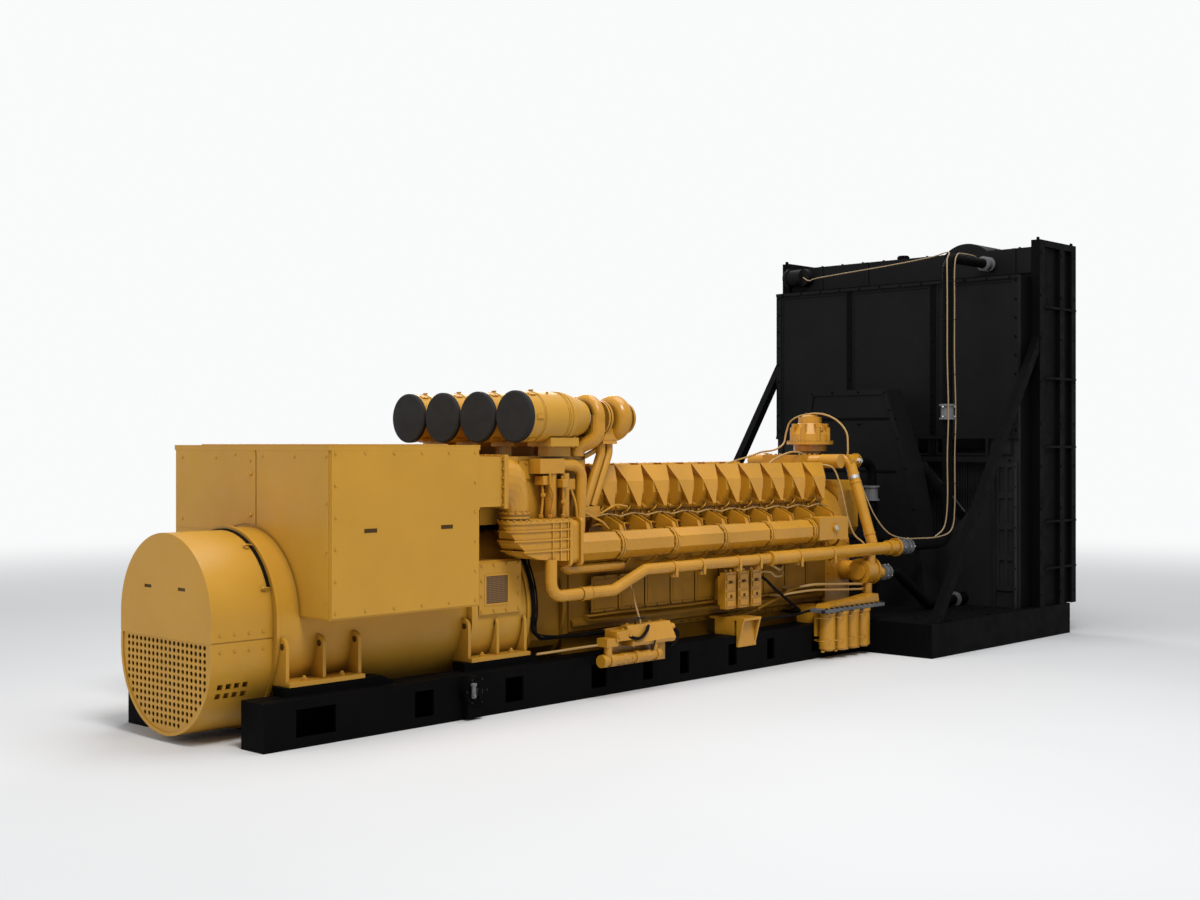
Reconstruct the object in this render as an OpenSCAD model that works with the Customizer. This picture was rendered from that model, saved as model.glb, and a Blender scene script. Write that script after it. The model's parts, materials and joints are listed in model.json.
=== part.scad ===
// Standby generator set: vee diesel engine, alternator and belt-fan radiator
// on one skid. Millimetres. X runs from the alternator's tail to the
// radiator, Y across and Z up, with the origin on the floor in the middle.

/* [Skid] */
// Length overall
set_len = 9000; // [8950:1:9400]
// Height of the base rails
rail_h = 290; // [250:1:320]
// Distance from the centre line to a rail's outer face
rail_y = 757; // [740:1:800]
// Free gap between a rail and the coupling housing
rail_clear = 50; // [20:1:70]
// Thickness of a rail's webs
rail_web = 16; // [10:1:24]
// Thickness of a rail's flanges
rail_flange = 20; // [12:1:30]
// Height of the pads on the rails
pad_h = 55; // [40:1:70]
// Length of the alternator that hangs past the rails' ends
tail_overhang = 192; // [100:1:300]
// Depth of the radiator's base, along X
skid_len = 2514; // [2400:1:2600]
// Half the width of the radiator's base
skid_y = 1486; // [1486:1:1600]
// Height of the radiator's base
skid_h = 285; // [250:1:310]
// Radius of the anchor bolt holes in the rails
anchor_r = 14; // [9:1:20]

/* [Alternator] */
// Height of the crankshaft and rotor axis
shaft_z = 654; // [648:1:680]
// Radius of the round ends of the fan hood
hood_r = 510; // [480:1:530]
// Straight height between the fan hood's round ends
hood_rise = 208; // [100:1:214]
// Length of the fan hood
hood_len = 425; // [350:1:450]
// Radius of the alternator's barrel
barrel_r = 545; // [530:1:550]
// Straight height between the barrel's lower and upper arcs
crown = 84; // [0:1:90]
// Length of the alternator's barrel
barrel_len = 1560; // [1540:1:1600]
// Height of the tops of the alternator's feet
foot_top = 635; // [600:1:640]
// Radius of the coupling housing
coupling_r = 600; // [570:1:606]
// Length of the coupling housing
coupling_len = 525; // [500:1:540]
// Thickness of sheet-metal covers
sheet = 8; // [5:1:12]
// Depth of the space behind the fan grille
grille_gap = 24; // [10:1:60]
// Distance between the fan grille's rows of holes
grille_pitch = 41; // [38:1:60]
// Radius of a hole in the fan grille
grille_hole_r = 15; // [8:1:16]

/* [Terminal box] */
// Length of the terminal box
box_len = 1199; // [1100:1:1210]
// Half the width of the terminal box
box_y = 850; // [800:1:880]
// Height of the terminal box's underside
box_z = 750; // [700:1:800]
// Height of the terminal box's top
box_top = 1800; // [1760:1:1850]

/* [Engine] */
// Number of cylinders in a bank
cylinders = 10; // [8:1:10]
// Distance between neighbouring cylinders
pitch = 298; // [280:1:300]
// Lean of each bank from upright, in degrees
bank_angle = 28; // [27:1:30]
// Distance from the shaft axis to the cylinder deck
deck = 620; // [610:1:640]
// Height of a cylinder head above the deck
head_h = 200; // [190:1:210]
// Height of a rocker cover above its head
cover_h = 292; // [280:1:310]
// Length of the flywheel housing
flywheel_len = 500; // [460:1:520]
// Length of the front gear case
gear_len = 400; // [340:1:420]
// Length of the housing in front of the gear case
front_len = 320; // [260:1:340]
// Radius of the intake plenums
plenum_r = 105; // [85:1:112]
// Distance from the centre line to a plenum's axis
plenum_y = 700; // [690:1:712]
// Height of the plenums' axes
plenum_z = 1075; // [1060:1:1090]
// Radius of the side water pipes
water_r = 42; // [30:1:46]
// Radius of the side water pipes' front stretch
water_front_r = 54; // [42:1:60]
// Distance from the centre line to a side water pipe
water_y = 800; // [790:1:820]
// Height of the side water pipes
water_z = 885; // [870:1:900]

/* [Air cleaners] */
// Radius of an air cleaner's can
can_r = 180; // [150:1:182]
// Length of an air cleaner's can
can_len = 426; // [400:1:440]
// Distance between neighbouring air cleaners
can_pitch = 380; // [376:1:400]
// Height of the air cleaners' axes
can_z = 1998; // [1990:1:2040]
// Radius of the turbochargers' scrolls
scroll_r = 172; // [150:1:180]
// Height of the aftercooler's top
cooler_top = 1722; // [1700:1:1740]

/* [Radiator] */
// Height of the radiator frame's top
radiator_top = 3720; // [3650:1:3850]
// Depth of the radiator core, along X
core_depth = 600; // [540:1:640]
// Height of the top tank
tank_h = 300; // [250:1:340]
// Width of a radiator column
column_w = 90; // [70:1:100]
// Depth of the shroud in front of the core
shroud_depth = 290; // [260:1:320]
// Height of the shroud panels' lower edge
panel_z = 1860; // [1800:1:1950]
// Height of the fan's axis
fan_z = 1850; // [1800:1:1900]
// Radius of the fan
fan_r = 1050; // [950:1:1080]
// Number of fan blades
blades = 8; // [6:1:10]
// Radius of the coolant pipes at the radiator
riser_r = 46; // [38:1:52]

/* [Hidden] */
// Node to build, or all of them

yellow = [0.75, 0.56, 0.25];
black = [0.11, 0.11, 0.11];
grey = [0.55, 0.55, 0.55];
dark = [0.2, 0.21, 0.22];
$fn = 48;

// Stations along the set
x0 = -set_len / 2;
x1 = set_len / 2;
rail_x0 = x0 + tail_overhang;
hood_x1 = x0 + hood_len;
barrel_x1 = hood_x1 + barrel_len;
coupling_x1 = barrel_x1 + coupling_len;
flywheel_x1 = coupling_x1 + flywheel_len;
bank_x0 = flywheel_x1 + 180;
bank_x1 = bank_x0 + cylinders * pitch;
gear_x0 = bank_x1 + 10;
gear_x1 = gear_x0 + gear_len;
front_x1 = gear_x1 + front_len;
base_x1 = x1 - 137;
base_x0 = base_x1 - skid_len;
box_x0 = hood_x1 + 172;
box_x1 = box_x0 + box_len;
core_x1 = x1 - 60;
core_x0 = core_x1 - core_depth;
shroud_x0 = core_x0 - shroud_depth;
frame_x0 = x1 - 730;

// Half the free width between the rails, clear of the coupling housing
rail_in = sqrt(pow(coupling_r, 2) - pow(shaft_z - rail_h, 2)) + rail_clear;
anchor_y = (rail_y + rail_in) / 2;
anchor_span = 4288;
anchor_x0 = base_x0 - 649 - anchor_span;

// Outer face of the alternator's feet and of the pads under them
foot_y = 650;
pad_top = rail_h + pad_h;

// Sides and underside of the engine block
block_y = 480;
pan_rail_z = 420;
core_y = skid_y - column_w - 10;
shroud_top = radiator_top - tank_h - 40;

// Air path: cans, sleeves, compressors and turbines on four axes
can_x0 = coupling_x1 - 105;
can_x1 = can_x0 + can_len;
cone_len = 185;
cone_x1 = can_x1 + cone_len;
compressor_x = cone_x1 + 84;
turbine_x = compressor_x + 285;
cooler_x1 = bank_x0 - 90;
elbow_x0 = coupling_x1 - 410;
rise_x = elbow_x0 + 159;
rise_r = 98;
plenum_x0 = coupling_x1 + 300;
plenum_x1 = bank_x1 - 65;

// Pumps and pipes at the engine's front
pump_x = gear_x0 + 290;
pump_y = 740;
pump_z = 694;
water_x1 = gear_x1 + 296;
riser_y = 951;

// Drive from the damper up to the fan
guard_x0 = shroud_x0 - 560;
guard_x1 = guard_x0 + 240;
riser_x = guard_x0 + 20;
drop_x = guard_x0 - 120;
drop_y = -222;

// A point of the near bank: u across the bank toward the vee, v up the bore
function bank_pt(u, v) = [
  cos(bank_angle) * u - sin(bank_angle) * v,
  shaft_z + sin(bank_angle) * u + cos(bank_angle) * v
];
// Middle of cylinder i along the bank
function cylinder_x(i) = bank_x0 + (i + 0.5) * pitch;
function flip(p) = [for (i = [len(p) - 1:-1:0]) [-p[i][0], p[i][1]]];
function unit(v) = v / norm(v);

// Corner b of a route, rounded with radius r in k steps
function bend(a, b, c, r, k) =
  let (
    u = unit(a - b),
    w = unit(c - b),
    half = acos(max(-0.9999, min(0.9999, u * w))) / 2,
    mid = b + unit(u + w) * r / sin(half),
    p = b + u * r / tan(half),
    e = unit(p - mid),
    q = unit(b + w * r / tan(half) - mid),
    f = unit(q - e * (q * e)),
    turn = 180 - 2 * half
  )
  [for (i = [0:k]) mid + r * (e * cos(turn * i / k) + f * sin(turn * i / k))];
function route(p, r, k) = [
  p[0],
  for (i = [1:1:len(p) - 2]) each bend(p[i - 1], p[i], p[i + 1], r, k),
  p[len(p) - 1]
];
function tangent(p, i) =
  let (
    a = i == 0 ? p[1] - p[0] : unit(p[i] - p[i - 1]),
    b = i == len(p) - 1 ? a : unit(p[i + 1] - p[i])
  )
  unit(unit(a) + b);
function carry(n, t) = unit(n - t * (n * t));
function normals(p, n, i = 0) =
  i == len(p) ? [] :
  let (m = carry(n, tangent(p, i)))
  concat([m], normals(p, m, i + 1));
function ring(c, n, b, ra, rb, sides) = [
  for (j = [0:sides - 1])
    c + n * ra * cos(360 * j / sides) + b * rb * sin(360 * j / sides)
];

// A skin over rings of equal size, closed at both ends
module loft(rings) {
  k = len(rings);
  sides = len(rings[0]);
  faces = [
    [for (j = [0:sides - 1]) j],
    [for (j = [sides - 1:-1:0]) (k - 1) * sides + j],
    for (i = [0:k - 2], j = [0:sides - 1])
      let (a = i * sides + j, b = i * sides + (j + 1) % sides)
      each [[a, a + sides, b], [b, a + sides, b + sides]]
  ];
  polyhedron([for (r = rings) each r], faces);
}
// A round pipe along a route of corners
module pipe(p, r, bend_r = 90, sides = 12, steps = 4, start = [0.1, 0.2, 1]) {
  path = route(p, bend_r, steps);
  n = normals(path, start);
  loft([
    for (i = [0:len(path) - 1])
      ring(path[i], n[i], cross(tangent(path, i), n[i]), r, r, sides)
  ]);
}

module block(p, q) {
  translate(p)
    cube(q - p);
}
module rod_x(a, b, y, z, r) {
  translate([a, y, z])
    rotate([0, 90, 0])
      cylinder(h = b - a, r = r);
}
module rod_y(a, b, x, z, r) {
  translate([x, b, z])
    rotate([90, 0, 0])
      cylinder(h = b - a, r = r);
}
module rod_z(a, b, x, y, r) {
  translate([x, y, a])
    cylinder(h = b - a, r = r);
}
// A profile of Y and Z, drawn out along X
module along_x(a, b) {
  translate([a, 0, 0])
    rotate([90, 0, 90])
      linear_extrude(b - a)
        children();
}
// A profile of X and Z, drawn out along Y
module along_y(a, b) {
  translate([0, b, 0])
    rotate([90, 0, 0])
      linear_extrude(b - a)
        children();
}
// A rectangle with corners p and q, rounded with radius r
module round_rect(p, q, r) {
  translate([p[0] + r, p[1]])
    square([q[0] - p[0] - 2 * r, q[1] - p[1]]);
  translate([p[0], p[1] + r])
    square([q[0] - p[0], q[1] - p[1] - 2 * r]);
  for (x = [p[0] + r, q[0] - r], y = [p[1] + r, q[1] - r])
    translate([x, y])
      circle(r);
}
module far_side() {
  mirror([0, 1, 0])
    children();
}
module both_sides() {
  children();
  far_side()
    children();
}
// Frame of the near bank: Y across the bank, Z up the bore
module near_bank() {
  translate([0, 0, shaft_z])
    rotate([bank_angle, 0, 0])
      children();
}
// Turbocharger axes on the near side
module near_axes() {
  for (i = [0:1])
    translate([0, -(i + 0.5) * can_pitch, can_z])
      children();
}

// ---- Skid ----
window_z = [62, 230];
windows = [
  [229, 521], [1141, 1298], [1929, 2096], [2769, 2925], [3323, 3431],
  [3743, 3851], [4335, 4440], [4837, 4936], [5458, 5558]
];
// Start, end and length of the sloped end of each pad
pads = [[223, 1058, 90], [1658, 2308, 0]];

module rail() {
  difference() {
    union() {
      block([rail_x0, -rail_y, 0], [base_x0, -rail_in, rail_h]);
      for (p = pads)
        along_y(-foot_y, -rail_in)
          polygon([
            [rail_x0 + p[0], rail_h], [rail_x0 + p[1], rail_h],
            [rail_x0 + p[1] - p[2], pad_top], [rail_x0 + p[0], pad_top]
          ]);
    }
    block(
      [rail_x0 + rail_web, -rail_y + rail_web, rail_flange],
      [base_x0 - rail_web, -rail_in - rail_web, rail_h - rail_flange]
    );
    for (w = windows)
      block(
        [rail_x0 + w[0], -rail_y - 1, window_z[0]],
        [rail_x0 + w[1], -rail_y + rail_web + 1, window_z[1]]
      );
    for (x = [anchor_x0, anchor_x0 + anchor_span])
      rod_z(-1, rail_flange + 1, x, -anchor_y, anchor_r);
  }
}
module rail_near() {
  color(black)
    rail();
}
module rail_far() {
  color(black)
    far_side()
      rail();
}
module rail_crossmembers() {
  top = shaft_z - coupling_r - 6;
  color(black)
    for (i = [0:6])
      block([rail_x0 + 340 + i * 840, -rail_in, 8], [rail_x0 + 480 + i * 840, rail_in, top]);
}
module radiator_base() {
  plate = 12;
  inset = 14;
  cell_x = (skid_len - inset) / 3;
  cell_y = 2 * (skid_y - inset) / 4;
  color(black)
    difference() {
      block([base_x0, -skid_y, 0], [base_x1, skid_y, skid_h]);
      for (i = [0:2], j = [0:3])
        block(
          [base_x0 + inset + i * cell_x, -skid_y + inset + j * cell_y + 7 * sign(j), -1],
          [base_x0 + (i + 1) * cell_x, -skid_y + (j + 1) * cell_y, skid_h - plate]
        );
    }
}

// ---- Alternator ----
flange_t = 24;
// Cross-section with round ends, centred low under and high over the shaft
module obround(r, low, high) {
  for (z = [-low, high])
    translate([0, shaft_z + z])
      circle(r);
  translate([-r, shaft_z - low])
    square([2 * r, low + high]);
}
module hood_section(grow) {
  obround(hood_r + grow, hood_rise / 2, hood_rise / 2);
}
module barrel_section(grow) {
  obround(barrel_r + grow, 0, crown);
}
module alternator_barrel() {
  color(yellow) {
    along_x(hood_x1 + flange_t, barrel_x1 - flange_t)
      barrel_section(0);
    rod_x(barrel_x1 - flange_t, barrel_x1, 0, shaft_z, coupling_r);
    along_x(hood_x1, hood_x1 + flange_t)
      union() {
        hood_section(10);
        barrel_section(12);
      }
  }
}
// Start and end of each foot, from the rail's tail
foot_spans = [[258, 826], [1722, 2266]];
module gusset_profile() {
  r = 56;
  outer = 612;
  inner = 380;
  translate([-outer, pad_top])
    square([outer - inner, foot_top - pad_top - r]);
  translate([-outer + r, pad_top])
    square([outer - inner - r, foot_top - pad_top]);
  translate([-outer + r, foot_top - r])
    circle(r);
}
module alternator_feet() {
  plate = 26;
  rib = 24;
  difference() {
    for (f = foot_spans) {
      block(
        [rail_x0 + f[0], -foot_y, pad_top],
        [rail_x0 + f[1], -rail_in + 120, pad_top + plate]
      );
      for (i = [0:2])
        along_x(
          rail_x0 + f[0] + i * (f[1] - f[0] - rib) / 2,
          rail_x0 + f[0] + i * (f[1] - f[0] - rib) / 2 + rib
        )
          gusset_profile();
    }
    along_x(hood_x1 - 1, barrel_x1 - flange_t)
      barrel_section(0);
    rod_x(barrel_x1 - flange_t, coupling_x1 + 1, 0, shaft_z, coupling_r);
  }
}
module alternator_feet_near() {
  color(yellow)
    alternator_feet();
}
module alternator_feet_far() {
  color(yellow)
    far_side()
      alternator_feet();
}
// Seam between the fan hood's plain upper part and its grille
seam_z = shaft_z - 22;
module fan_hood() {
  lip = 22;
  groove = 4;
  color(yellow)
    difference() {
      along_x(x0, hood_x1)
        hood_section(0);
      // Air space behind the grille
      along_x(x0 - 1, x0 + 2 * sheet + grille_gap)
        intersection() {
          hood_section(-lip);
          translate([-hood_r, 0])
            square([2 * hood_r, seam_z]);
        }
      // Seam along both sides
      both_sides()
        block([x0 - 1, -hood_r - 1, seam_z], [hood_x1 + 1, -hood_r + groove, seam_z + 8]);
      // Air slots low on both sides
      both_sides()
        for (i = [0:3], j = [0:1])
          block(
            [x0 + 60 + i * 58, -hood_r - 1, 300 + j * 56],
            [x0 + 96 + i * 58, -hood_r + 90, 332 + j * 56]
          );
      // Grip slots in the upper cover
      for (s = [-1, 1])
        block([x0 - 1, s * 190 - 40, 926], [x0 + 20, s * 190 + 40, 946]);
    }
}
module intake_grille() {
  rows = floor((seam_z - 60) / grille_pitch);
  cols = 21;
  step = 2 * (hood_r - 36) / (cols - 1);
  reach = hood_r - 22 - grille_hole_r - 3;
  mid = shaft_z - hood_rise / 2;
  color(yellow)
    along_x(x0 + sheet, x0 + 2 * sheet)
      difference() {
        intersection() {
          hood_section(-22);
          translate([-hood_r, 0])
            square([2 * hood_r, seam_z]);
        }
        for (i = [0:cols - 1], j = [0:rows - 1]) {
          y = (i - (cols - 1) / 2) * step;
          z = seam_z - 26 - j * grille_pitch;
          if (abs(y) < reach && (z > mid || norm([y, z - mid]) < reach))
            translate([y, z])
              rotate(22.5)
                circle(grille_hole_r, $fn = 8);
        }
      }
}
module hood_seal() {
  low = shaft_z + 288;
  color(black)
    along_x(hood_x1 - 18, hood_x1)
      intersection() {
        difference() {
          hood_section(10);
          hood_section(0);
        }
        translate([-hood_r - 20, low])
          square([2 * hood_r + 40, hood_r + hood_rise]);
      }
}

// ---- Terminal box ----
lid_t = 10;
module terminal_box() {
  color(yellow)
    difference() {
      union() {
        block([box_x0, -box_y, box_z], [box_x1, box_y, box_top - lid_t]);
        block([box_x0 - 6, -box_y - 6, box_top - lid_t], [box_x1 + 6, box_y + 6, box_top]);
      }
      along_x(box_x0 - 10, box_x1 + 10)
        barrel_section(0);
    }
}
panel_t = 5;
module box_panel() {
  slot_z = box_top - 532;
  difference() {
    block([box_x0 + 8, -box_y - panel_t, box_z + 10], [box_x1 - 8, -box_y, box_top - 20]);
    for (x = [box_x0 + 303, box_x1 - 281])
      block([x - 50, -box_y - panel_t - 1, slot_z], [x + 50, -box_y - 1, slot_z + 22]);
  }
}
module box_panel_near() {
  color(yellow)
    box_panel();
}
module box_panel_far() {
  color(yellow)
    far_side()
      box_panel();
}
// Closed leaf over the far half of the box's rear, fixed plate over the near half
module box_doors() {
  bottom = shaft_z + barrel_r + 56;
  seam = 92;
  color(yellow)
    along_x(box_x0 - panel_t, box_x0)
      difference() {
        union() {
          round_rect([-seam + 6, bottom], [box_y - 8, box_top - 20], 40);
          translate([-box_y + 8, box_z + 10])
            square([box_y - 8 - seam - 6, box_top - box_z - 30]);
        }
        barrel_section(20);
      }
}

// ---- Engine block ----
cover_y = coupling_r + 6;
module coupling_housing() {
  bottom = foot_top + 15;
  top = shaft_z + 361;
  win_z = [shaft_z + 60, shaft_z + 262];
  depth = 40;
  color(yellow) {
    rod_x(barrel_x1, barrel_x1 + 30, 0, shaft_z, coupling_r);
    rod_x(barrel_x1 + 30, coupling_x1 - 30, 0, shaft_z, coupling_r - 14);
    rod_x(coupling_x1 - 30, coupling_x1, 0, shaft_z, coupling_r);
    // Flat side covers with a louvred window
    both_sides()
      difference() {
        along_x(barrel_x1 + 35, coupling_x1 - 100)
          polygon([
            [-cover_y, bottom], [-cover_y, top - 16], [-cover_y + 16, top], [-300, top],
            [-300, bottom]
          ]);
        block(
          [barrel_x1 + 92, -cover_y - 1, win_z[0]],
          [coupling_x1 - 222, -cover_y + depth, win_z[1]]
        );
      }
    both_sides()
      for (i = [0:4])
        along_x(barrel_x1 + 92, coupling_x1 - 222)
          polygon([
            [-cover_y + 8, win_z[0] + 8 + i * 40], [-cover_y + depth, win_z[0] + 26 + i * 40],
            [-cover_y + depth, win_z[0] + 36 + i * 40], [-cover_y + 8, win_z[0] + 18 + i * 40]
          ]);
  }
}
module flywheel_housing() {
  shoulder = [
    [-460, 360], [-500, 420], [-500, 900], [-450, 1090], [-300, shaft_z + coupling_r + 2]
  ];
  color(yellow) {
    rod_x(coupling_x1, coupling_x1 + 40, 0, shaft_z, coupling_r);
    along_x(coupling_x1 + 40, flywheel_x1 - 120)
      polygon(concat(shoulder, flip(shoulder)));
    rod_x(flywheel_x1 - 120, flywheel_x1 - 90, 0, shaft_z, 540);
    along_x(flywheel_x1 - 90, flywheel_x1)
      offset(delta = -30)
        polygon(concat(shoulder, flip(shoulder)));
  }
}
module crankcase() {
  valley = [-60, shaft_z + 470];
  half = [
    [-440, pan_rail_z], [-block_y, pan_rail_z + 22], [-block_y, 980],
    bank_pt(-150, deck), bank_pt(150, deck), bank_pt(150, deck - 60), valley
  ];
  color(yellow) {
    along_x(flywheel_x1, gear_x0)
      polygon(concat(half, flip(half)));
    both_sides() {
      for (i = [0:cylinders - 1])
        translate([cylinder_x(i), -block_y, 700])
          rotate([90, 0, 0])
            linear_extrude(18)
              round_rect([-pitch / 2 + 30, -120], [pitch / 2 - 30, 120], 26);
      // Ledge over the oil pan
      along_x(flywheel_x1 + 20, gear_x0 - 10)
        polygon([
          [-block_y, pan_rail_z + 60], [-block_y - 26, pan_rail_z + 60],
          [-block_y - 26, pan_rail_z + 84], [-block_y, pan_rail_z + 110]
        ]);
    }
  }
}
module oil_pan() {
  half = [
    [-440, pan_rail_z], [-440, pan_rail_z - 30], [-400, pan_rail_z - 30],
    [-395, 260], [-300, 120]
  ];
  color(yellow)
    along_x(flywheel_x1 + 10, gear_x0 - 10)
      polygon(concat(flip(half), half));
}
module cylinder_heads() {
  gap = 16;
  w = (pitch - gap) / 2;
  color(yellow)
    both_sides()
      near_bank()
        for (i = [0:cylinders - 1])
          translate([cylinder_x(i), 0, deck]) {
            along_x(-w, w)
              polygon([
                [-140, 0], [-140, head_h - 40], [-122, head_h], [140, head_h], [140, 0]
              ]);
            // Fuel pump and plug boss on the outer face
            translate([-w + 30, -176, 24])
              cube([64, 40, head_h - 80]);
            rotate([90, 0, 0])
              translate([40, head_h / 2, 138])
                cylinder(h = 34, r = 38);
          }
}
// Upright face and sloping roof of a rocker cover, across the bank
module cover_profile() {
  polygon([
    [-134, 18], [-134, cover_h - 150], [-92, cover_h - 72], [30, cover_h],
    [130, cover_h - 57], [130, 18]
  ]);
}
module cover_elevation() {
  top = pitch / 2 - 5;
  mid = pitch / 2 - 55;
  polygon([
    [-mid, 18], [-mid, cover_h - 72], [-top, cover_h], [top, cover_h],
    [mid, cover_h - 72], [mid, 18]
  ]);
}
// Nose that narrows to a point over the intake port
module cover_nose() {
  mid = pitch / 2 - 55;
  crease = cover_h - 72;
  tip = 74;
  intersection() {
    along_x(-pitch / 2, pitch / 2)
      polygon([
        [-92, crease], [-219, tip], [-206, tip - 14], [-100, tip - 14]
      ]);
    along_y(-230, 0)
      polygon([
        [-mid, crease + 1], [-14, tip], [-14, tip - 15], [14, tip - 15], [14, tip], [mid, crease + 1]
      ]);
  }
}
module rocker_covers() {
  base = deck + head_h;
  color(yellow)
    both_sides()
      near_bank()
        for (i = [0:cylinders - 1])
          translate([cylinder_x(i), 0, base]) {
            intersection() {
              along_x(-pitch / 2, pitch / 2)
                cover_profile();
              along_y(-200, 200)
                cover_elevation();
            }
            cover_nose();
            translate([-pitch / 2 + 12, -138, 0])
              cube([pitch - 24, 270, 18]);
          }
}

// ---- Intake ----
// Octagonal sleeves between pairs of joint rings
module intake_plenum() {
  port = bank_pt(-160, deck + head_h * 0.72);
  ring_w = 22;
  joint = [for (i = [0:floor(cylinders / 2) - 1]) bank_x0 + 70 + 2 * i * pitch];
  sleeve = concat([plenum_x0 + 20], [for (x = joint) x + 34]);
  last = concat([for (x = joint) x - 34], [plenum_x1 - 200]);
  rod_x(plenum_x0, plenum_x1 - 100, -plenum_y, plenum_z, plenum_r - 12);
  for (i = [0:len(joint)])
    if (last[i] > sleeve[i])
      along_x(sleeve[i], last[i])
        translate([-plenum_y, plenum_z])
          rotate(22.5)
            circle(plenum_r, $fn = 8);
  for (x = joint)
    for (s = [-22, 4])
      rod_x(x + s, x + s + ring_w - 4, -plenum_y, plenum_z, plenum_r + 4);
  // Duct with side ribs from the plenum up to each head
  for (i = [0:cylinders - 1]) {
    x = cylinder_x(i);
    for (s = [[-24, 24, 0], [-32, -24, 14], [24, 32, 14]])
      along_x(x + s[0], x + s[1])
        polygon([
          [-plenum_y - 20, plenum_z + plenum_r - 24],
          [-plenum_y + 10 - s[2], plenum_z + plenum_r + 30 + s[2]],
          [port[0] - 26, port[1] + 34 + s[2]], [port[0], port[1] + 30 + s[2]],
          [port[0], port[1] - 40], [-plenum_y + 70, plenum_z + 20], [-plenum_y, plenum_z]
        ]);
  }
  // Square end with its plug
  block(
    [plenum_x1 - 420, -plenum_y - plenum_r - 6, plenum_z - 76],
    [plenum_x1, -plenum_y + 60, plenum_z + plenum_r + 8]
  );
  rod_y(-plenum_y - plenum_r - 22, -plenum_y, plenum_x1 - 195, plenum_z + 20, 34);
}
module intake_plenum_near() {
  color(yellow)
    intake_plenum();
}
module intake_plenum_far() {
  color(yellow)
    far_side()
      intake_plenum();
}

// Upper elbow: sections turned about its inner corner, growing as they go
elbow_top = cooler_top - 10;
elbow_low = elbow_top - 328;
function elbow_reach(a, w, h) =
  pow(pow(cos(a) / w, 3) + pow(sin(a) / h, 3), -1 / 3);
module elbow_duct() {
  fillet = 34;
  flat = 110;
  hub = [rise_x - rise_r - fillet, elbow_low - fillet];
  w = 2 * rise_r + fillet;
  h = elbow_top - hub[1];
  turns = [for (i = [0:8]) i * 90 / 8];
  function section(a, drop, back) =
    let (
      far = elbow_reach(min(max(a, 0.01), 89.99), w, h),
      half = (far - fillet) / 2,
      mid = fillet + half,
      wide = rise_r + (flat - rise_r) * a / 90
    )
    ring(
      [hub[0] + cos(a) * mid - back, -plenum_y, hub[1] + sin(a) * mid - drop],
      [0, -1, 0], [cos(a), 0, sin(a)], wide, half, 20
    );
  loft(concat(
    [section(0, 110, 0)],
    [for (a = turns) section(a, 0, 0)],
    [section(90, 0, hub[0] - elbow_x0 + 20)]
  ));
}
// Lower elbow: half-round in plan, swept up toward the riser in elevation
box_r = 108;
elbow_box_top = plenum_z + 211;
module elbow_plan(grow) {
  translate([rise_x, -plenum_y])
    circle(box_r + grow);
  translate([rise_x, -plenum_y - box_r - grow])
    square([plenum_x0 - 100 - rise_x, 2 * (box_r + grow)]);
}
module elbow_side(grow) {
  top = elbow_box_top + 1;
  left = rise_x - box_r - 20;
  polygon([
    [left, top], [left, top - 20], [rise_x - box_r - grow, top - 57 - grow],
    [rise_x - 59 - grow, top - 157 - grow], [rise_x + 21 - grow, top - 237 - grow],
    [rise_x + 121 - grow, top - 270 - grow], [rise_x + 251, top - 282 - grow],
    [plenum_x0 - 90, top - 298 - grow], [plenum_x0 - 90, top]
  ]);
}
module elbow_box() {
  wide = plenum_y + box_r + 30;
  intersection() {
    translate([0, 0, plenum_z - 150])
      linear_extrude(elbow_box_top - plenum_z + 150)
        elbow_plan(0);
    along_y(-wide, -plenum_y + box_r + 30)
      elbow_side(0);
  }
  // Ribs round the box, cut to its sweep
  intersection() {
    for (z = [elbow_box_top - 24, elbow_box_top - 78, elbow_box_top - 145, elbow_box_top - 219])
      translate([0, 0, z])
        linear_extrude(z == elbow_box_top - 24 ? 24 : 12)
          elbow_plan(11);
    along_y(-wide, -plenum_y + box_r + 30)
      elbow_side(10);
  }
  for (x = [plenum_x0 - 299, plenum_x0 - 221, plenum_x0 - 150])
    block(
      [x, -plenum_y - box_r - 8, plenum_z - 78],
      [x + 12, -plenum_y + box_r + 8, elbow_box_top - 20]
    );
}
module intake_elbow() {
  grip = box_r + 14;
  elbow_duct();
  elbow_box();
  for (z = [elbow_box_top + 14, elbow_box_top + 44])
    rod_z(z, z + 14, rise_x, -plenum_y, rise_r + 9);
  // Flanged collar onto the plenum
  for (x = [plenum_x0 - 132, plenum_x0 - 24])
    along_x(x, x + 26)
      translate([-plenum_y, 0])
        round_rect([-grip, plenum_z - grip], [grip, elbow_box_top + 4], 30);
  along_x(plenum_x0 - 106, plenum_x0 - 24)
    translate([-plenum_y, 0])
      round_rect([-box_r + 4, plenum_z - box_r + 4], [box_r - 4, elbow_box_top - 14], 40);
  // Flange onto the aftercooler's rear duct
  block(
    [elbow_x0 - 34, -plenum_y - 120, elbow_low - 8],
    [elbow_x0 - 12, -plenum_y + 120, elbow_top + 24]
  );
}
module intake_elbow_near() {
  color(yellow)
    intake_elbow();
}
module intake_elbow_far() {
  color(yellow)
    far_side()
      intake_elbow();
}
cooler_y = 560;
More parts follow.
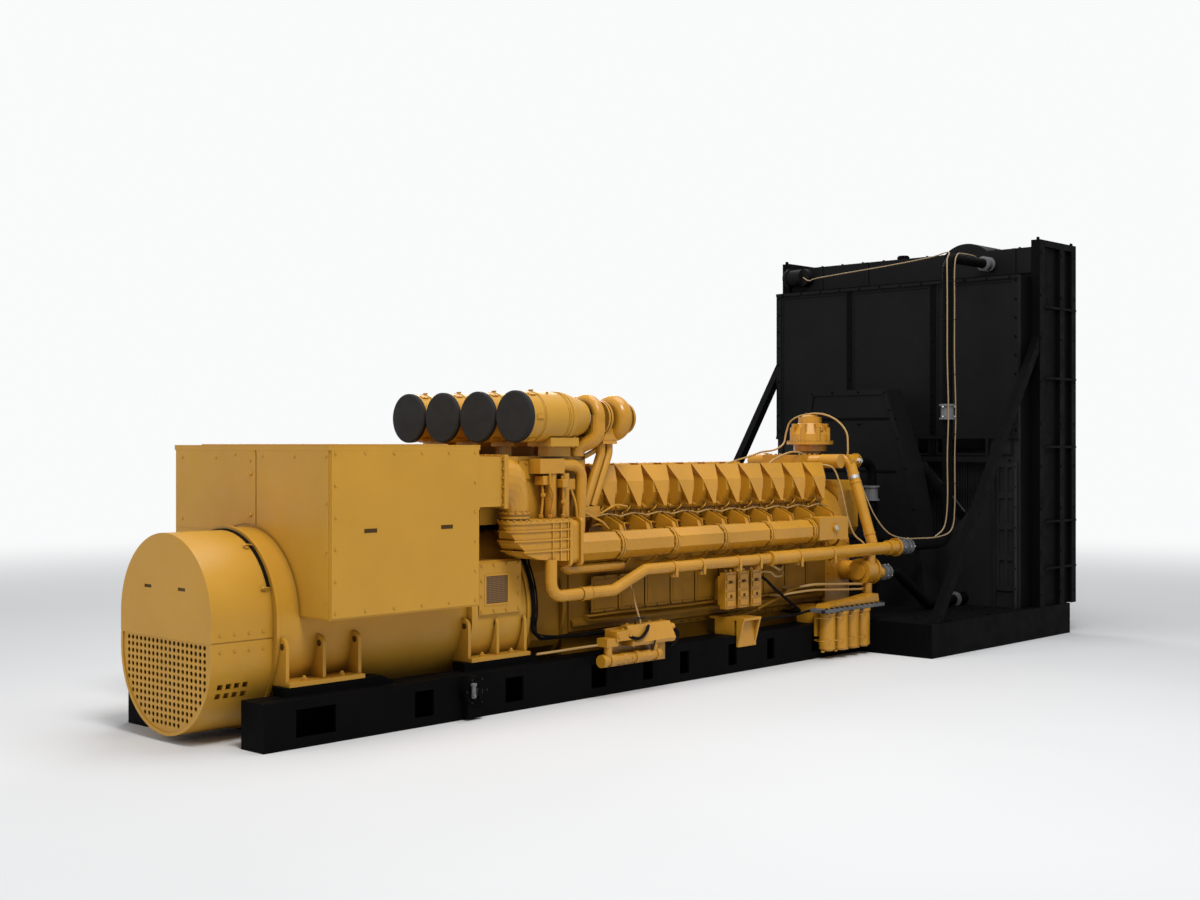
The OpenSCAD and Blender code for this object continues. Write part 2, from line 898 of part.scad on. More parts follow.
module aftercooler() {
  left = box_x1 + 20;
  right = elbow_x0 - 34;
  bottom = elbow_low - 8;
  grip = plenum_y + 120;
  color(yellow) {
    block([left + 14, -plenum_y - 100, bottom + 14], [right - 14, plenum_y + 100, cooler_top]);
    for (x = [left, right - 14])
      block([x, -grip, bottom], [x + 14, grip, elbow_top + 24]);
    // Legs down to the barrel
    both_sides()
      difference() {
        block([left + 30, -420, shaft_z], [right - 30, -360, bottom + 14]);
        along_x(left, right)
          barrel_section(0);
      }
    // Cooler core on the flywheel housing, under the air cleaners
    block([right, -cooler_y, shaft_z + coupling_r + 2], [cooler_x1, cooler_y, cooler_top - 2]);
    both_sides() {
      block([can_x0 + 20, -cooler_y - 12, 1560], [cooler_x1 - 20, -cooler_y, 1690]);
      for (x = [can_x0 + 60, can_x0 + 300, can_x0 + 540])
        block([x, -cooler_y - 12, 1270], [x + 30, -cooler_y, 1560]);
    }
  }
}
// Pipes from the cooler's side down to the intake and the plenum
pipe_y = 640;
module aftercooler_pipes() {
  r = 42;
  head = [can_x0 + 110, 1600, 1704];
  bend_z = 1656;
  color(yellow)
    both_sides() {
      block([head[0], -pipe_y - 50, head[1]], [head[0] + 240, -cooler_y - 12, head[2]]);
      for (x = [can_x0 + 260, can_x0 + 389])
        rod_z(elbow_box_top + 4, head[1], x, -pipe_y, r);
      rod_x(head[0] + 240, head[0] + 256, -pipe_y, bend_z, 50);
      pipe([
        [head[0] + 236, -pipe_y, bend_z], [cooler_x1 - 120, -pipe_y, bend_z],
        [cooler_x1 - 156, -pipe_y - 10, plenum_z + 80]
      ], r, 95, 14, 5);
    }
}

// ---- Exhaust, turbochargers and air cleaners ----
manifold_y = 98;
manifold_z = 1340;
duct_y = cooler_y + 38;
duct_top = can_z - 190;
module exhaust_manifold() {
  color(yellow)
    both_sides() {
      rod_x(bank_x0 - 84, bank_x1, -manifold_y, manifold_z, 78);
      for (i = [0:cylinders - 1]) {
        x = cylinder_x(i);
        rod_x(x - 14, x + 14, -manifold_y, manifold_z, 90);
        along_x(x + 30, x + 100)
          polygon([
            [-manifold_y, manifold_z - 40], bank_pt(140, deck + 60), bank_pt(140, deck + 140),
            [-manifold_y, manifold_z + 40]
          ]);
      }
      // Cross duct behind the banks, out to the outer turbines' ducts
      rod_y(-duct_y + 30, 10, bank_x0 - 44, manifold_z - 10, 36);
    }
}
module scroll(x, tube) {
  translate([x, 0, 0])
    rotate([0, 90, 0])
      rotate_extrude()
        translate([scroll_r - tube, 0])
          circle(tube, $fn = 24);
}
module turbochargers() {
  color(yellow)
    both_sides()
      near_axes() {
        scroll(compressor_x, 50);
        rod_x(compressor_x - 44, turbine_x, 0, 0, 76);
        for (x = [compressor_x + 46, compressor_x + 112, compressor_x + 140])
          rod_x(x, x + 16, 0, 0, 128);
        // Outlet bent down into the aftercooler
        pipe([
          [compressor_x, -scroll_r + 60, 20], [compressor_x, -scroll_r + 60, -150],
          [compressor_x - 88, 20, -215], [compressor_x - 88, 20, cooler_top - 2 - can_z]
        ], 58, 90, 14);
        scroll(turbine_x, 72);
        rod_x(turbine_x - 70, turbine_x + 130, 0, 0, 96);
        rod_x(turbine_x + 112, turbine_x + 130, 0, 0, 116);
        // Inlet throat and its flange
        along_y(-70, 26)
          polygon([
            [turbine_x - 110, -60], [turbine_x + 40, -140], [turbine_x - 54, -172],
            [turbine_x - 186, -172], [turbine_x - 150, -110]
          ]);
        block([turbine_x - 196, -84, -190], [turbine_x - 44, 40, -170]);
      }
}
module exhaust_ducts() {
  r = 34;
  foot_z = manifold_z + 14;
  color(yellow)
    both_sides() {
      // Outer pair down to the cross duct's end box
      for (s = [-40, 40])
        pipe([
          [turbine_x - 120 + s, -duct_y, duct_top], [turbine_x - 120 + s, -duct_y, duct_top - 70],
          [bank_x0 - 96 + s, -duct_y, foot_z]
        ], r, 120, 12, 3);
      block(
        [bank_x0 - 176, -duct_y - 40, manifold_z - 60], [bank_x0 - 14, -cooler_y - 4, foot_z + 2]
      );
      // Inner pair down to the manifold
      for (s = [-40, 40])
        pipe([
          [turbine_x - 120 + s, -can_pitch / 2 - 20, duct_top],
          [turbine_x - 120 + s, -can_pitch / 2 - 20, duct_top - 70],
          [bank_x0 + 2 + s / 2, -can_pitch / 2 + 60, manifold_z + 60]
        ], r, 120, 12, 3);
    }
}
module intake_sleeves() {
  color(black)
    both_sides()
      near_axes()
        rod_x(cone_x1, compressor_x - 44, 0, 0, 96);
}
module air_cleaners() {
  color(yellow)
    both_sides()
      near_axes() {
        rod_x(can_x0, can_x1, 0, 0, can_r - 4);
        rod_x(can_x0, can_x0 + 24, 0, 0, can_r);
        rod_x(can_x1 - 40, can_x1 - 28, 0, 0, can_r);
        translate([can_x1, 0, 0])
          rotate([0, 90, 0])
            cylinder(h = cone_len, r1 = can_r - 4, r2 = 125);
        // Clips round the cap's rim
        for (a = [30:60:330])
          rotate([a, 0, 0])
            block([can_x0 + 20, -14, can_r - 8], [can_x0 + 84, 14, can_r + 6]);
      }
}
module air_cleaner_caps() {
  color(dark)
    both_sides()
      near_axes()
        translate([can_x0 - 34, 0, 0])
          rotate([0, 90, 0]) {
            cylinder(h = 8, r1 = can_r - 10, r2 = can_r + 2);
            translate([0, 0, 8])
              cylinder(h = 26, r = can_r + 2);
          }
}
// Saddles under the cans, on short posts from the aftercooler
module air_cleaner_frame() {
  saddle = [can_x0 + 216, can_x0 + 497];
  seat = can_z - can_r + 34;
  top = seat - 20;
  foot = seat - 72;
  color(yellow)
    both_sides()
      near_axes() {
        difference() {
          block([saddle[0], -118, foot + 10 - can_z], [saddle[1], 118, seat - can_z]);
          rod_x(saddle[0] - 1, can_x1, 0, 0, can_r - 4);
          translate([can_x1, 0, 0])
            rotate([0, 90, 0])
              cylinder(h = cone_len, r1 = can_r - 4, r2 = 125);
        }
        block(
          [saddle[0] + 30, -64, cooler_top - 2 - can_z],
          [saddle[1] - 30, 40, foot + 10 - can_z]
        );
      }
}

// ---- Water, oil and fuel ----
module water_pipe() {
  low = water_z - 133;
  joint = bank_x0 + 6.15 * pitch;
  pipe([
    [coupling_x1, -water_y, elbow_box_top - 276], [coupling_x1, -water_y, low],
    [coupling_x1 + 635, -water_y, low + 4], [coupling_x1 + 980, -water_y, water_z],
    [joint, -water_y, water_z]
  ], water_r, 100, 14);
  rod_x(joint - 30, joint, -water_y, water_z, water_front_r + 6);
  rod_x(joint, water_x1, -water_y, water_z, water_front_r);
  rod_x(water_x1 - 150, water_x1, -water_y, water_z, water_front_r + 12);
  rod_x(water_x1 - 24, water_x1, -water_y, water_z, water_front_r + 28);
  // Feed from the elbow's collar to the block
  pipe([
    [plenum_x0 - 80, -plenum_y, plenum_z - box_r + 8], [plenum_x0 - 80, -plenum_y, water_z + 36],
    [plenum_x0 + 550, -plenum_y, water_z + 36], [plenum_x0 + 580, -block_y, water_z + 36]
  ], water_r - 5, 60);
  // Clips
  for (k = [2, 3.1, 4.6, 5.5, 7.3, 8.9]) {
    x = bank_x0 + k * pitch;
    block([x, -water_y, water_z - water_r - 10], [x + 26, -block_y, water_z - water_r + 6]);
    block([x, -water_y - 16, water_z - water_r - 34], [x + 26, -water_y + 16, water_z - water_r]);
  }
}
module water_pipe_near() {
  color(yellow)
    water_pipe();
}
module water_pipe_far() {
  color(yellow)
    far_side()
      water_pipe();
}
front_top = 1480;
module gear_case() {
  half = [
    [-470, 330], [-520, 400], [-520, 960], [-460, 1130], [-380, 1330], [-250, 1420]
  ];
  front = [
    [-330, shaft_z + 330], [-380, shaft_z + 400], [-380, front_top - 90], [-290, front_top]
  ];
  color(yellow) {
    along_x(gear_x0, gear_x1 - 30)
      polygon(concat(half, flip(half)));
    along_x(gear_x1 - 30, gear_x1)
      offset(delta = -24)
        polygon(concat(half, flip(half)));
    along_x(gear_x1, front_x1)
      polygon(concat(front, flip(front)));
    rod_x(front_x1, front_x1 + 26, 0, shaft_z + 580, 190);
    rod_x(front_x1 + 26, front_x1 + 44, 0, shaft_z + 580, 120);
    both_sides() {
      // Water pump: scroll, back plate, outlet and mounting
      rod_x(pump_x - 90, pump_x + 60, -pump_y, pump_z, 112);
      rod_x(pump_x + 60, pump_x + 84, -pump_y, pump_z, 124);
      rod_x(pump_x - 120, pump_x - 90, -pump_y, pump_z, 70);
      rod_y(-pump_y, -500, pump_x - 10, pump_z, 84);
      rod_x(pump_x + 84, pump_x + 160, -water_y, pump_z - 20, 50);
      rod_z(pump_z + 60, water_z - water_front_r + 6, pump_x + 10, -water_y + 10, 46);
    }
  }
}
module crank_damper() {
  color(dark) {
    rod_x(gear_x1, gear_x1 + 46, 0, shaft_z, 150);
    rod_x(gear_x1 + 46, gear_x1 + 120, 0, shaft_z, 300);
    rod_x(gear_x1 + 120, gear_x1 + 136, 0, shaft_z, 240);
    rod_x(gear_x1 + 136, guard_x0, 0, shaft_z, 62);
    rod_x(guard_x0 - 60, guard_x0, 0, shaft_z, 110);
  }
}
breather_x = gear_x1 + 70;
breather_y = -25;
module breather() {
  plate = 1805;
  color(yellow)
    translate([breather_x, breather_y, 0]) {
      rod_z(front_top, plate, 0, 0, 104);
      rod_z(plate - 60, plate, 0, 0, 150);
      rod_z(plate, plate + 26, 0, 0, 213);
      translate([0, 0, plate + 26])
        cylinder(h = 70, r1 = 186, r2 = 178);
      translate([0, 0, plate + 96])
        cylinder(h = 100, r1 = 178, r2 = 112);
      rod_z(plate + 196, plate + 252, 0, 0, 106);
      for (a = [15:45:330])
        rotate(a) {
          rod_z(plate + 26, plate + 150, 168, 0, 26);
          block([120, -16, plate + 26], [172, 16, plate + 190]);
        }
    }
}
// Thermostat housing on the gear case and the pipes down to the water pumps
therm_z = 1660;
outlet_y = 186;
module front_pipes() {
  start = gear_x0 + 60;
  turn = gear_x1 + 5;
  color(yellow) {
    block([start, -210, 1420], [gear_x1 - 60, 210, therm_z + 50]);
    rod_x(gear_x1 - 60, gear_x1 - 44, -outlet_y, therm_z - 20, 74);
    both_sides() {
      pipe([
        [start + 150, -180, therm_z], [turn, -500, therm_z + 15],
        [turn + 5, -pump_y, water_z + 40]
      ], 48, 100, 14, 5);
      rod_x(turn - 40, turn + 90, -500, therm_z, 56);
      rod_x(turn + 90, turn + 104, -500, therm_z, 66);
      rod_y(-500, -300, turn - 130, therm_z - 4, 62);
    }
  }
}
filter_x = bank_x1 - 470;
module oil_filters() {
  plate_z = 400;
  out = rail_y + 170;
  color(yellow) {
    for (c = [[70, 70], [209, 103], [374, 103], [539, 103]])
      translate([filter_x + c[0], -rail_y - c[1], 0]) {
        rod_z(86, plate_z, 0, 0, 70);
        translate([0, 0, 68])
          cylinder(h = 18, r1 = 50, r2 = 70);
        rod_z(plate_z - 26, plate_z, 0, 0, 77);
      }
    block([filter_x - 90, -out, plate_z], [filter_x + 790, -rail_y, plate_z + 26]);
    // Casting over the plate, up to the pump
    along_y(-out + 30, -rail_y)
      polygon([
        [filter_x, plate_z + 26], [filter_x + 20, plate_z + 60], [filter_x + 420, plate_z + 76],
        [filter_x + 740, plate_z + 106], [filter_x + 760, plate_z + 26]
      ]);
    rod_z(plate_z + 90, pump_z - 100, pump_x - 10, -pump_y - 30, 42);
    block([filter_x - 20, -rail_y - 16, 190], [filter_x + 640, -rail_y, plate_z]);
  }
}
module fuel_filters() {
  first = bank_x0 + 4.63 * pitch;
  z = [497, 787];
  color(yellow) {
    for (i = [0:2]) {
      block([first + i * 168, -690, z[0]], [first + i * 168 + 132, -636, z[1]]);
      for (h = [0:3])
        block(
          [first + i * 168 + 14, -698, z[0] + 22 + h * 68],
          [first + i * 168 + 118, -690, z[0] + 66 + h * 68]
        );
    }
    block([first, -636, z[0] + 30], [first + 468, -612, z[1] - 30]);
    for (x = [first + 60, first + 340])
      block([x, -612, z[0] + 60], [x + 60, -block_y - 18, z[1] - 60]);
  }
}
module priming_unit() {
  y = -rail_y - 78;
  tube_z = rail_h - 28;
  a = bank_x0 - 202;
  color(yellow) {
    rod_x(a, a + 617, y, tube_z, 38);
    for (x = [a - 14, a + 60, a + 330, a + 560])
      rod_x(x, x + 40, y, tube_z, 46);
    rod_z(tube_z, rail_h + 110, a + 60, y, 30);
    rod_z(tube_z, rail_h + 60, a + 560, y, 26);
    block([a + 112, y - 40, rail_h + 105], [a + 277, -rail_y - 8, rail_h + 175]);
    block([a + 20, y - 30, rail_h + 70], [a + 140, -rail_y - 8, rail_h + 130]);
    // Tray with a sloping front
    along_x(a + 281, a + 759)
      polygon([
        [-rail_y, rail_h + 55], [y - 30, rail_h + 55], [y - 44, rail_h + 80],
        [y + 20, rail_h + 200], [-rail_y, rail_h + 200]
      ]);
    rod_x(a + 759, a + 800, y + 30, rail_h + 150, 30);
    block([a + 112, -rail_y - 12, rail_h - 90], [a + 759, -rail_y, rail_h + 190]);
  }
}
// Seat on the rail's top flange, under the block's side
module engine_seat(x, w) {
  block([x, -rail_y, pan_rail_z - 10], [x + w, -block_y, pan_rail_z + 10]);
  block([x, -rail_y + 24, rail_h], [x + w, -rail_in - 10, pan_rail_z - 10]);
}
// Wing outside the rail, where nothing else is mounted on it
module engine_wing(x, w, t) {
  block([x, -rail_y - 73, pan_rail_z - 10], [x + w, -rail_y, pan_rail_z + 10]);
  block([x, -rail_y - t, rail_h - 90], [x + w, -rail_y, pan_rail_z - 10]);
  for (s = [0, w - t])
    along_x(x + s, x + s + t)
      polygon([
        [-rail_y - t, rail_h - 60], [-rail_y - 68, pan_rail_z - 10],
        [-rail_y - t, pan_rail_z - 10]
      ]);
}
module engine_brackets() {
  // Places along the bank, in cylinder pitches
  places = [0.6, 4.82, 8.55];
  w = 227;
  color(yellow) {
    both_sides()
      for (k = places)
        engine_seat(bank_x0 + k * pitch, w);
    engine_wing(bank_x0 + places[1] * pitch, w, 20);
    far_side()
      for (k = places)
        engine_wing(bank_x0 + k * pitch, w, 20);
  }
}
module battery_isolator() {
  x = barrel_x1 - 185;
  color(black) {
    rod_y(-rail_y - 70, -rail_y, x, 190, 98);
    rod_y(-rail_y - 84, -rail_y - 70, x, 190, 70);
    block([x - 70, -rail_y - 60, 20], [x + 60, -rail_y, 190]);
    block([x - 12, -rail_y - 104, 140], [x + 12, -rail_y - 84, 240]);
  }
}

// ---- Radiator ----
guard_y = water_y - riser_r - 8;
module belt_guard() {
  color(black) {
    along_x(guard_x0, guard_x1)
      polygon([
        [-guard_y, skid_h], [-640, 1200], [-559, 1581], [-308, fan_z + 480],
        [560, fan_z + 480], [700, 1581], [guard_y, skid_h]
      ]);
    // Folded rim round the cover
    for (x = [guard_x0 - 14, guard_x1])
      along_x(x, x + 14)
        difference() {
          polygon([
            [-guard_y, skid_h], [-640, 1200], [-559, 1581], [-308, fan_z + 480],
            [560, fan_z + 480], [700, 1581], [guard_y, skid_h]
          ]);
          polygon([
            [60 - guard_y, skid_h - 1], [-584, 1200], [-504, 1581], [-272, fan_z + 430],
            [524, fan_z + 430], [644, 1581], [guard_y - 60, skid_h - 1]
          ]);
        }
  }
}
module fan() {
  blade_x = shroud_x0 + 112;
  hub_r = 190;
  color(dark) {
    rod_x(guard_x1 + 14, blade_x + 60, 0, fan_z, 60);
    rod_x(blade_x - 60, blade_x + 60, 0, fan_z, hub_r);
    for (i = [0:blades - 1])
      translate([blade_x, 0, fan_z])
        rotate([360 * i / blades, 0, 0])
          translate([0, 0, hub_r - 30])
            rotate(24)
              linear_extrude(fan_r - hub_r + 30, twist = -20, slices = 4)
                polygon([[-8, -96], [6, -96], [10, 112], [-4, 112]]);
  }
}
module column_plate() {
  slot_h = 234;
  x = shroud_x0 - 8;
  y = -core_y + 19;
  difference() {
    block([x, y, 442], [shroud_x0 + 8, y + 226, 1640]);
    for (i = [0:1], j = [0:3])
      block(
        [x - 1, y + 44 + i * 86, 490 + j * 290],
        [shroud_x0 + 9, y + 96 + i * 86, 490 + j * 290 + slot_h]
      );
  }
  block([x - 40, y - 1, skid_h], [x, y + 14, 1640]);
  block([x - 40, y + 212, skid_h], [x, y + 226, 1640]);
}
module fan_ring() {
  ring_r = fan_r + 40;
  color(black) {
    difference() {
      union() {
        block([shroud_x0 + 8, -core_y, skid_h], [shroud_x0 + 20, core_y, shroud_top]);
        rod_x(shroud_x0 + 20, shroud_x0 + 90, 0, fan_z, ring_r + 14);
      }
      rod_x(shroud_x0, shroud_x0 + 91, 0, fan_z, ring_r);
      // Clearance holes for the pump returns
      for (y = [-water_y, water_y])
        rod_x(shroud_x0, shroud_x0 + 21, y, lower_z, riser_r + 10);
    }
    both_sides()
      column_plate();
  }
}
module shroud() {
  wall = 12;
  front = shroud_x0 + 20;
  color(black)
    for (s = [-1, 1]) {
      block(
        [front, s > 0 ? core_y - wall : -core_y, skid_h],
        [core_x0, s > 0 ? core_y : -core_y + wall, shroud_top]
      );
      block(
        [front, -core_y, s > 0 ? shroud_top - wall : skid_h],
        [core_x0, core_y, s > 0 ? shroud_top : skid_h + wall]
      );
    }
}
// Three upper panels with ribs between them, and the beam under them
module front_panels() {
  rib_y = 480;
  beam_z = panel_z - 220;
  color(black) {
    difference() {
      block([shroud_x0, -core_y, panel_z], [shroud_x0 + 8, core_y, shroud_top]);
      rod_x(shroud_x0 - 1, shroud_x0 + 9, 0, fan_z, 76);
    }
    for (y = [-core_y + 30, -rib_y, rib_y, core_y - 30])
      block([shroud_x0 - 16, y - 30, panel_z], [shroud_x0, y + 30, shroud_top]);
    for (z = [panel_z, shroud_top - 30])
      block([shroud_x0 - 24, -core_y, z], [shroud_x0 - 16, core_y, z + 30]);
    both_sides() {
      block([shroud_x0 - 60, -1113, beam_z], [shroud_x0 - 20, -306, beam_z + 50]);
      for (y = [-1090, -700, -330])
        block([shroud_x0 - 50, y, beam_z + 50], [shroud_x0 - 16, y + 24, panel_z]);
    }
  }
}
module radiator_core() {
  tubes = 4;
  inner = core_y - 20;
  color(dark)
    for (i = [0:tubes - 1])
      block(
        [core_x0, -inner + i * 2 * inner / tubes + 4, 560],
        [core_x1, -inner + (i + 1) * 2 * inner / tubes - 4, radiator_top - tank_h]
      );
}
// Closed side: sheet between proud columns, tied by thin bars
module side_frame() {
  out = -skid_y + 6;
  bars = [630, 1068, 1771, 2418, 3084];
  block([frame_x0 + 10, out + 34, skid_h], [x1 - 10, out + 46, radiator_top - 20]);
  for (x = [frame_x0, x1 - 330, x1 - column_w])
    block([x, out, skid_h], [x + column_w, out + column_w, radiator_top]);
  for (z = bars)
    block([frame_x0 + column_w - 4, out - 4, z], [x1, out + 34, z + 22]);
  block([frame_x0, out, radiator_top - 60], [x1, out + column_w, radiator_top]);
}
module side_frame_near() {
  color(black)
    side_frame();
}
module side_frame_far() {
  color(black)
    far_side()
      side_frame();
}
module top_tank() {
  face = core_x0 - 40;
  low = radiator_top - tank_h;
  top = radiator_top - 60;
  hose_z = radiator_top - 165;
  dome_r = 340;
  color(black) {
    block([face, -core_y, low], [core_x1 - 40, core_y, top]);
    for (y = [-1200, -440, 440, 1000])
      block([face - 14, y - 20, low], [face, y + 20, top]);
    // Low dome over the filler
    along_x(core_x0, core_x1 - 120)
      intersection() {
        translate([-664, radiator_top + 35 - dome_r])
          circle(dome_r);
        translate([-1000, top - 10])
          square([700, 200]);
      }
    // Header hose's elbow at the far end
    rod_x(face - 100, face, 1180, hose_z, 90);
    rod_y(1180, core_y, face - 80, hose_z, 84);
    rod_y(core_y - 50, core_y - 26, face - 80, hose_z, 100);
  }
}
module bottom_tank() {
  color(black)
    block([core_x0 + 10, -core_y, skid_h], [core_x1 - 40, core_y, 560]);
}
module brace() {
  foot = [base_x0 + 120, skid_h];
  head = [frame_x0, radiator_top * 0.756];
  along_y(-skid_y + 10, -skid_y + 85)
    polygon([
      [foot[0] - 40, foot[1]], [foot[0] + 60, foot[1]], [head[0], head[1] - 130],
      [head[0], head[1]]
    ]);
}
module brace_near() {
  color(black)
    brace();
}
module brace_far() {
  color(black)
    far_side()
      brace();
}
sleeve_len = 225;
lower_z = skid_h + riser_r + 12;
module riser_pipes() {
  top = radiator_top - 195;
  a = water_x1 + sleeve_len;
  b = pump_x + 270;
  color(black) {
    // Water outlet, up in front of the panels and into the top tank
    pipe([
      [water_x1, -water_y, water_z], [a + 20, -water_y, water_z],
      [riser_x, -riser_y, water_z + 20], [riser_x, -riser_y, top],
      [core_x0 - 40, -riser_y, top]
    ], riser_r, 130, 14, 5);
    // Drop from the thermostat housing to the base
    pipe([
      [gear_x1 - 44, -outlet_y, therm_z - 20], [drop_x, drop_y, therm_z - 20],
      [drop_x, drop_y, skid_h]
    ], riser_r, 120, 14, 5);
    // Pump returns from the bottom tank
    both_sides()
      pipe([
        [pump_x + 160, -water_y, pump_z - 20], [b + 130, -water_y, pump_z - 20],
        [b + 660, -water_y, lower_z], [core_x0 + 10, -water_y, lower_z]
      ], riser_r, 130, 14, 4);
  }
}
// Sleeve along X or Z, bored for the pipe, with clamp bands at the given places
module sleeve_x(a, b, y, z, bands) {
  difference() {
    union() {
      rod_x(a, b, y, z, riser_r + 12);
      for (x = bands)
        rod_x(x, x + 20, y, z, riser_r + 24);
    }
    rod_x(a - 1, b + 1, y, z, riser_r);
  }
}
module sleeve_z(a, b, x, y, bands) {
  difference() {
    union() {
      rod_z(a, b, x, y, riser_r + 14);
      for (z = bands)
        rod_z(z, z + 16, x, y, riser_r + 30);
    }
    rod_z(a - 1, b + 1, x, y, riser_r);
  }
}
module hose_couplings() {
  hose_z = radiator_top - 195;
  color(grey) {
    sleeve_z(2035, 2176, riser_x, -riser_y, [2035, 2160]);
    sleeve_z(1276, 1416, drop_x, drop_y, [1276, 1400]);
    sleeve_x(core_x0 - 190, core_x0 - 60, -riser_y, hose_z, [core_x0 - 180, core_x0 - 90]);
    sleeve_x(
      water_x1, water_x1 + sleeve_len, -water_y, water_z,
      [water_x1 + 30, water_x1 + 130, water_x1 + 190]
    );
    both_sides() {
      sleeve_x(
        pump_x + 160, pump_x + 275, -water_y, pump_z - 20, [pump_x + 170, pump_x + 230]
      );
      sleeve_x(core_x0 - 465, core_x0 - 415, -water_y, lower_z, [core_x0 - 450]);
    }
  }
}
module harness_cable() {
  reach = coupling_r + 18;
  x = coupling_x1 + 16;
  arc = [for (a = [48:14:104]) [x, -reach * sin(a), shaft_z + reach * cos(a)]];
  path = concat(
    [[box_x1, -430, 1222], [x - 60, -430, 1222]], arc,
    [[x + 60, -reach, rail_h + 150], [bank_x0 + 120, -reach + 30, rail_h + 136]]
  );
  color(black)
    pipe(path, 14, 40, 8, 2);
}

rail_near();
rail_far();
rail_crossmembers();
radiator_base();
alternator_barrel();
alternator_feet_near();
alternator_feet_far();
fan_hood();
intake_grille();
hood_seal();
terminal_box();
box_panel_near();
box_panel_far();
box_doors();
coupling_housing();
flywheel_housing();
crankcase();
oil_pan();
cylinder_heads();
rocker_covers();
intake_plenum_near();
intake_plenum_far();
intake_elbow_near();
intake_elbow_far();
aftercooler();
aftercooler_pipes();
exhaust_manifold();
turbochargers();
exhaust_ducts();
intake_sleeves();
air_cleaners();
air_cleaner_caps();
air_cleaner_frame();
water_pipe_near();
water_pipe_far();
gear_case();
crank_damper();
breather();
front_pipes();
oil_filters();
fuel_filters();
priming_unit();
engine_brackets();
battery_isolator();
belt_guard();
fan();
fan_ring();
shroud();
front_panels();
radiator_core();
side_frame_near();
side_frame_far();
top_tank();
bottom_tank();
brace_near();
brace_far();
riser_pipes();
hose_couplings();
harness_cable();
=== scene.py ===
"""Looks of the standby generator set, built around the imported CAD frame.

The CAD gives every solid part. This script paints them and adds what is too small for them: bolts,
clips, hoses, lines, screens and wires. Lengths are in metres. X runs along the set from the fan hood
to the radiator, Y across it with the near side at minus Y, and Z up.
"""

import json
from itertools import product
from math import cos, pi, radians, sin

import bmesh
import bpy
from mathutils import Matrix, Vector


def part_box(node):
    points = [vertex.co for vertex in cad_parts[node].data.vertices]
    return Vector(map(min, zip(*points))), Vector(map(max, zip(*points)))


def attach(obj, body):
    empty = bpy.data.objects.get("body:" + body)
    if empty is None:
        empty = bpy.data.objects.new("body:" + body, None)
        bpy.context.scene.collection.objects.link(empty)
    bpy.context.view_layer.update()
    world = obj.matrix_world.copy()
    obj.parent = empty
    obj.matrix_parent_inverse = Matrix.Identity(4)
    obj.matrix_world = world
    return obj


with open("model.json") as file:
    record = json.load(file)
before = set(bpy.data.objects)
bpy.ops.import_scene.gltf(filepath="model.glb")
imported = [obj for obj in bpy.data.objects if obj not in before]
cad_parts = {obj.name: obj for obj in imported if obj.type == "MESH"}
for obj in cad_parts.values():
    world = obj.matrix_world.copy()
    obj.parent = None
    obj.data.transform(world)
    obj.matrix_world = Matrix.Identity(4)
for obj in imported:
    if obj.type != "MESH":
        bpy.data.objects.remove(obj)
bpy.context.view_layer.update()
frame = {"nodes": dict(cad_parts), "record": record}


# ---- Materials ----
def add_node(tree, kind, inputs, **settings):
    """New node. Each input is a constant or another node's output."""
    node = tree.nodes.new("ShaderNode" + kind)
    for key, value in settings.items():
        setattr(node, key, value)
    for key, value in inputs.items():
        if isinstance(value, bpy.types.NodeSocket):
            tree.links.new(value, node.inputs[key])
        else:
            node.inputs[key].default_value = value
    return node


def new_material(name, color, roughness, gloss=0.5, metallic=0.0):
    mat = bpy.data.materials.new(name)
    mat.use_nodes = True
    shader = mat.node_tree.nodes["Principled BSDF"]
    shader.inputs["Base Color"].default_value = (*color, 1)
    shader.inputs["Roughness"].default_value = roughness
    shader.inputs["Specular IOR Level"].default_value = gloss
    shader.inputs["Metallic"].default_value = metallic
    return mat, mat.node_tree, shader


def object_coords(tree):
    return tree.nodes.new("ShaderNodeTexCoord").outputs["Object"]


def noise(tree, coords, scale, detail=3.0):
    inputs = {"Scale": scale, "Detail": detail, "Vector": coords}
    return add_node(tree, "TexNoise", inputs).outputs["Fac"]


def math_node(tree, operation, a, b):
    return add_node(tree, "Math", {0: a, 1: b}, operation=operation).outputs[0]


def ramp(tree, value, stops):
    node = add_node(tree, "ValToRGB", {"Fac": value})
    elements = node.color_ramp.elements
    while len(elements) < len(stops):
        elements.new(0.5)
    for element, (position, color) in zip(elements, stops):
        element.position = position
        element.color = (*color, 1)
    return node.outputs["Color"]


def bump(tree, shader, height, strength, distance):
    inputs = {"Strength": strength, "Distance": distance, "Height": height}
    tree.links.new(add_node(tree, "Bump", inputs).outputs["Normal"], shader.inputs["Normal"])


def grey(value):
    return (value, value, value)


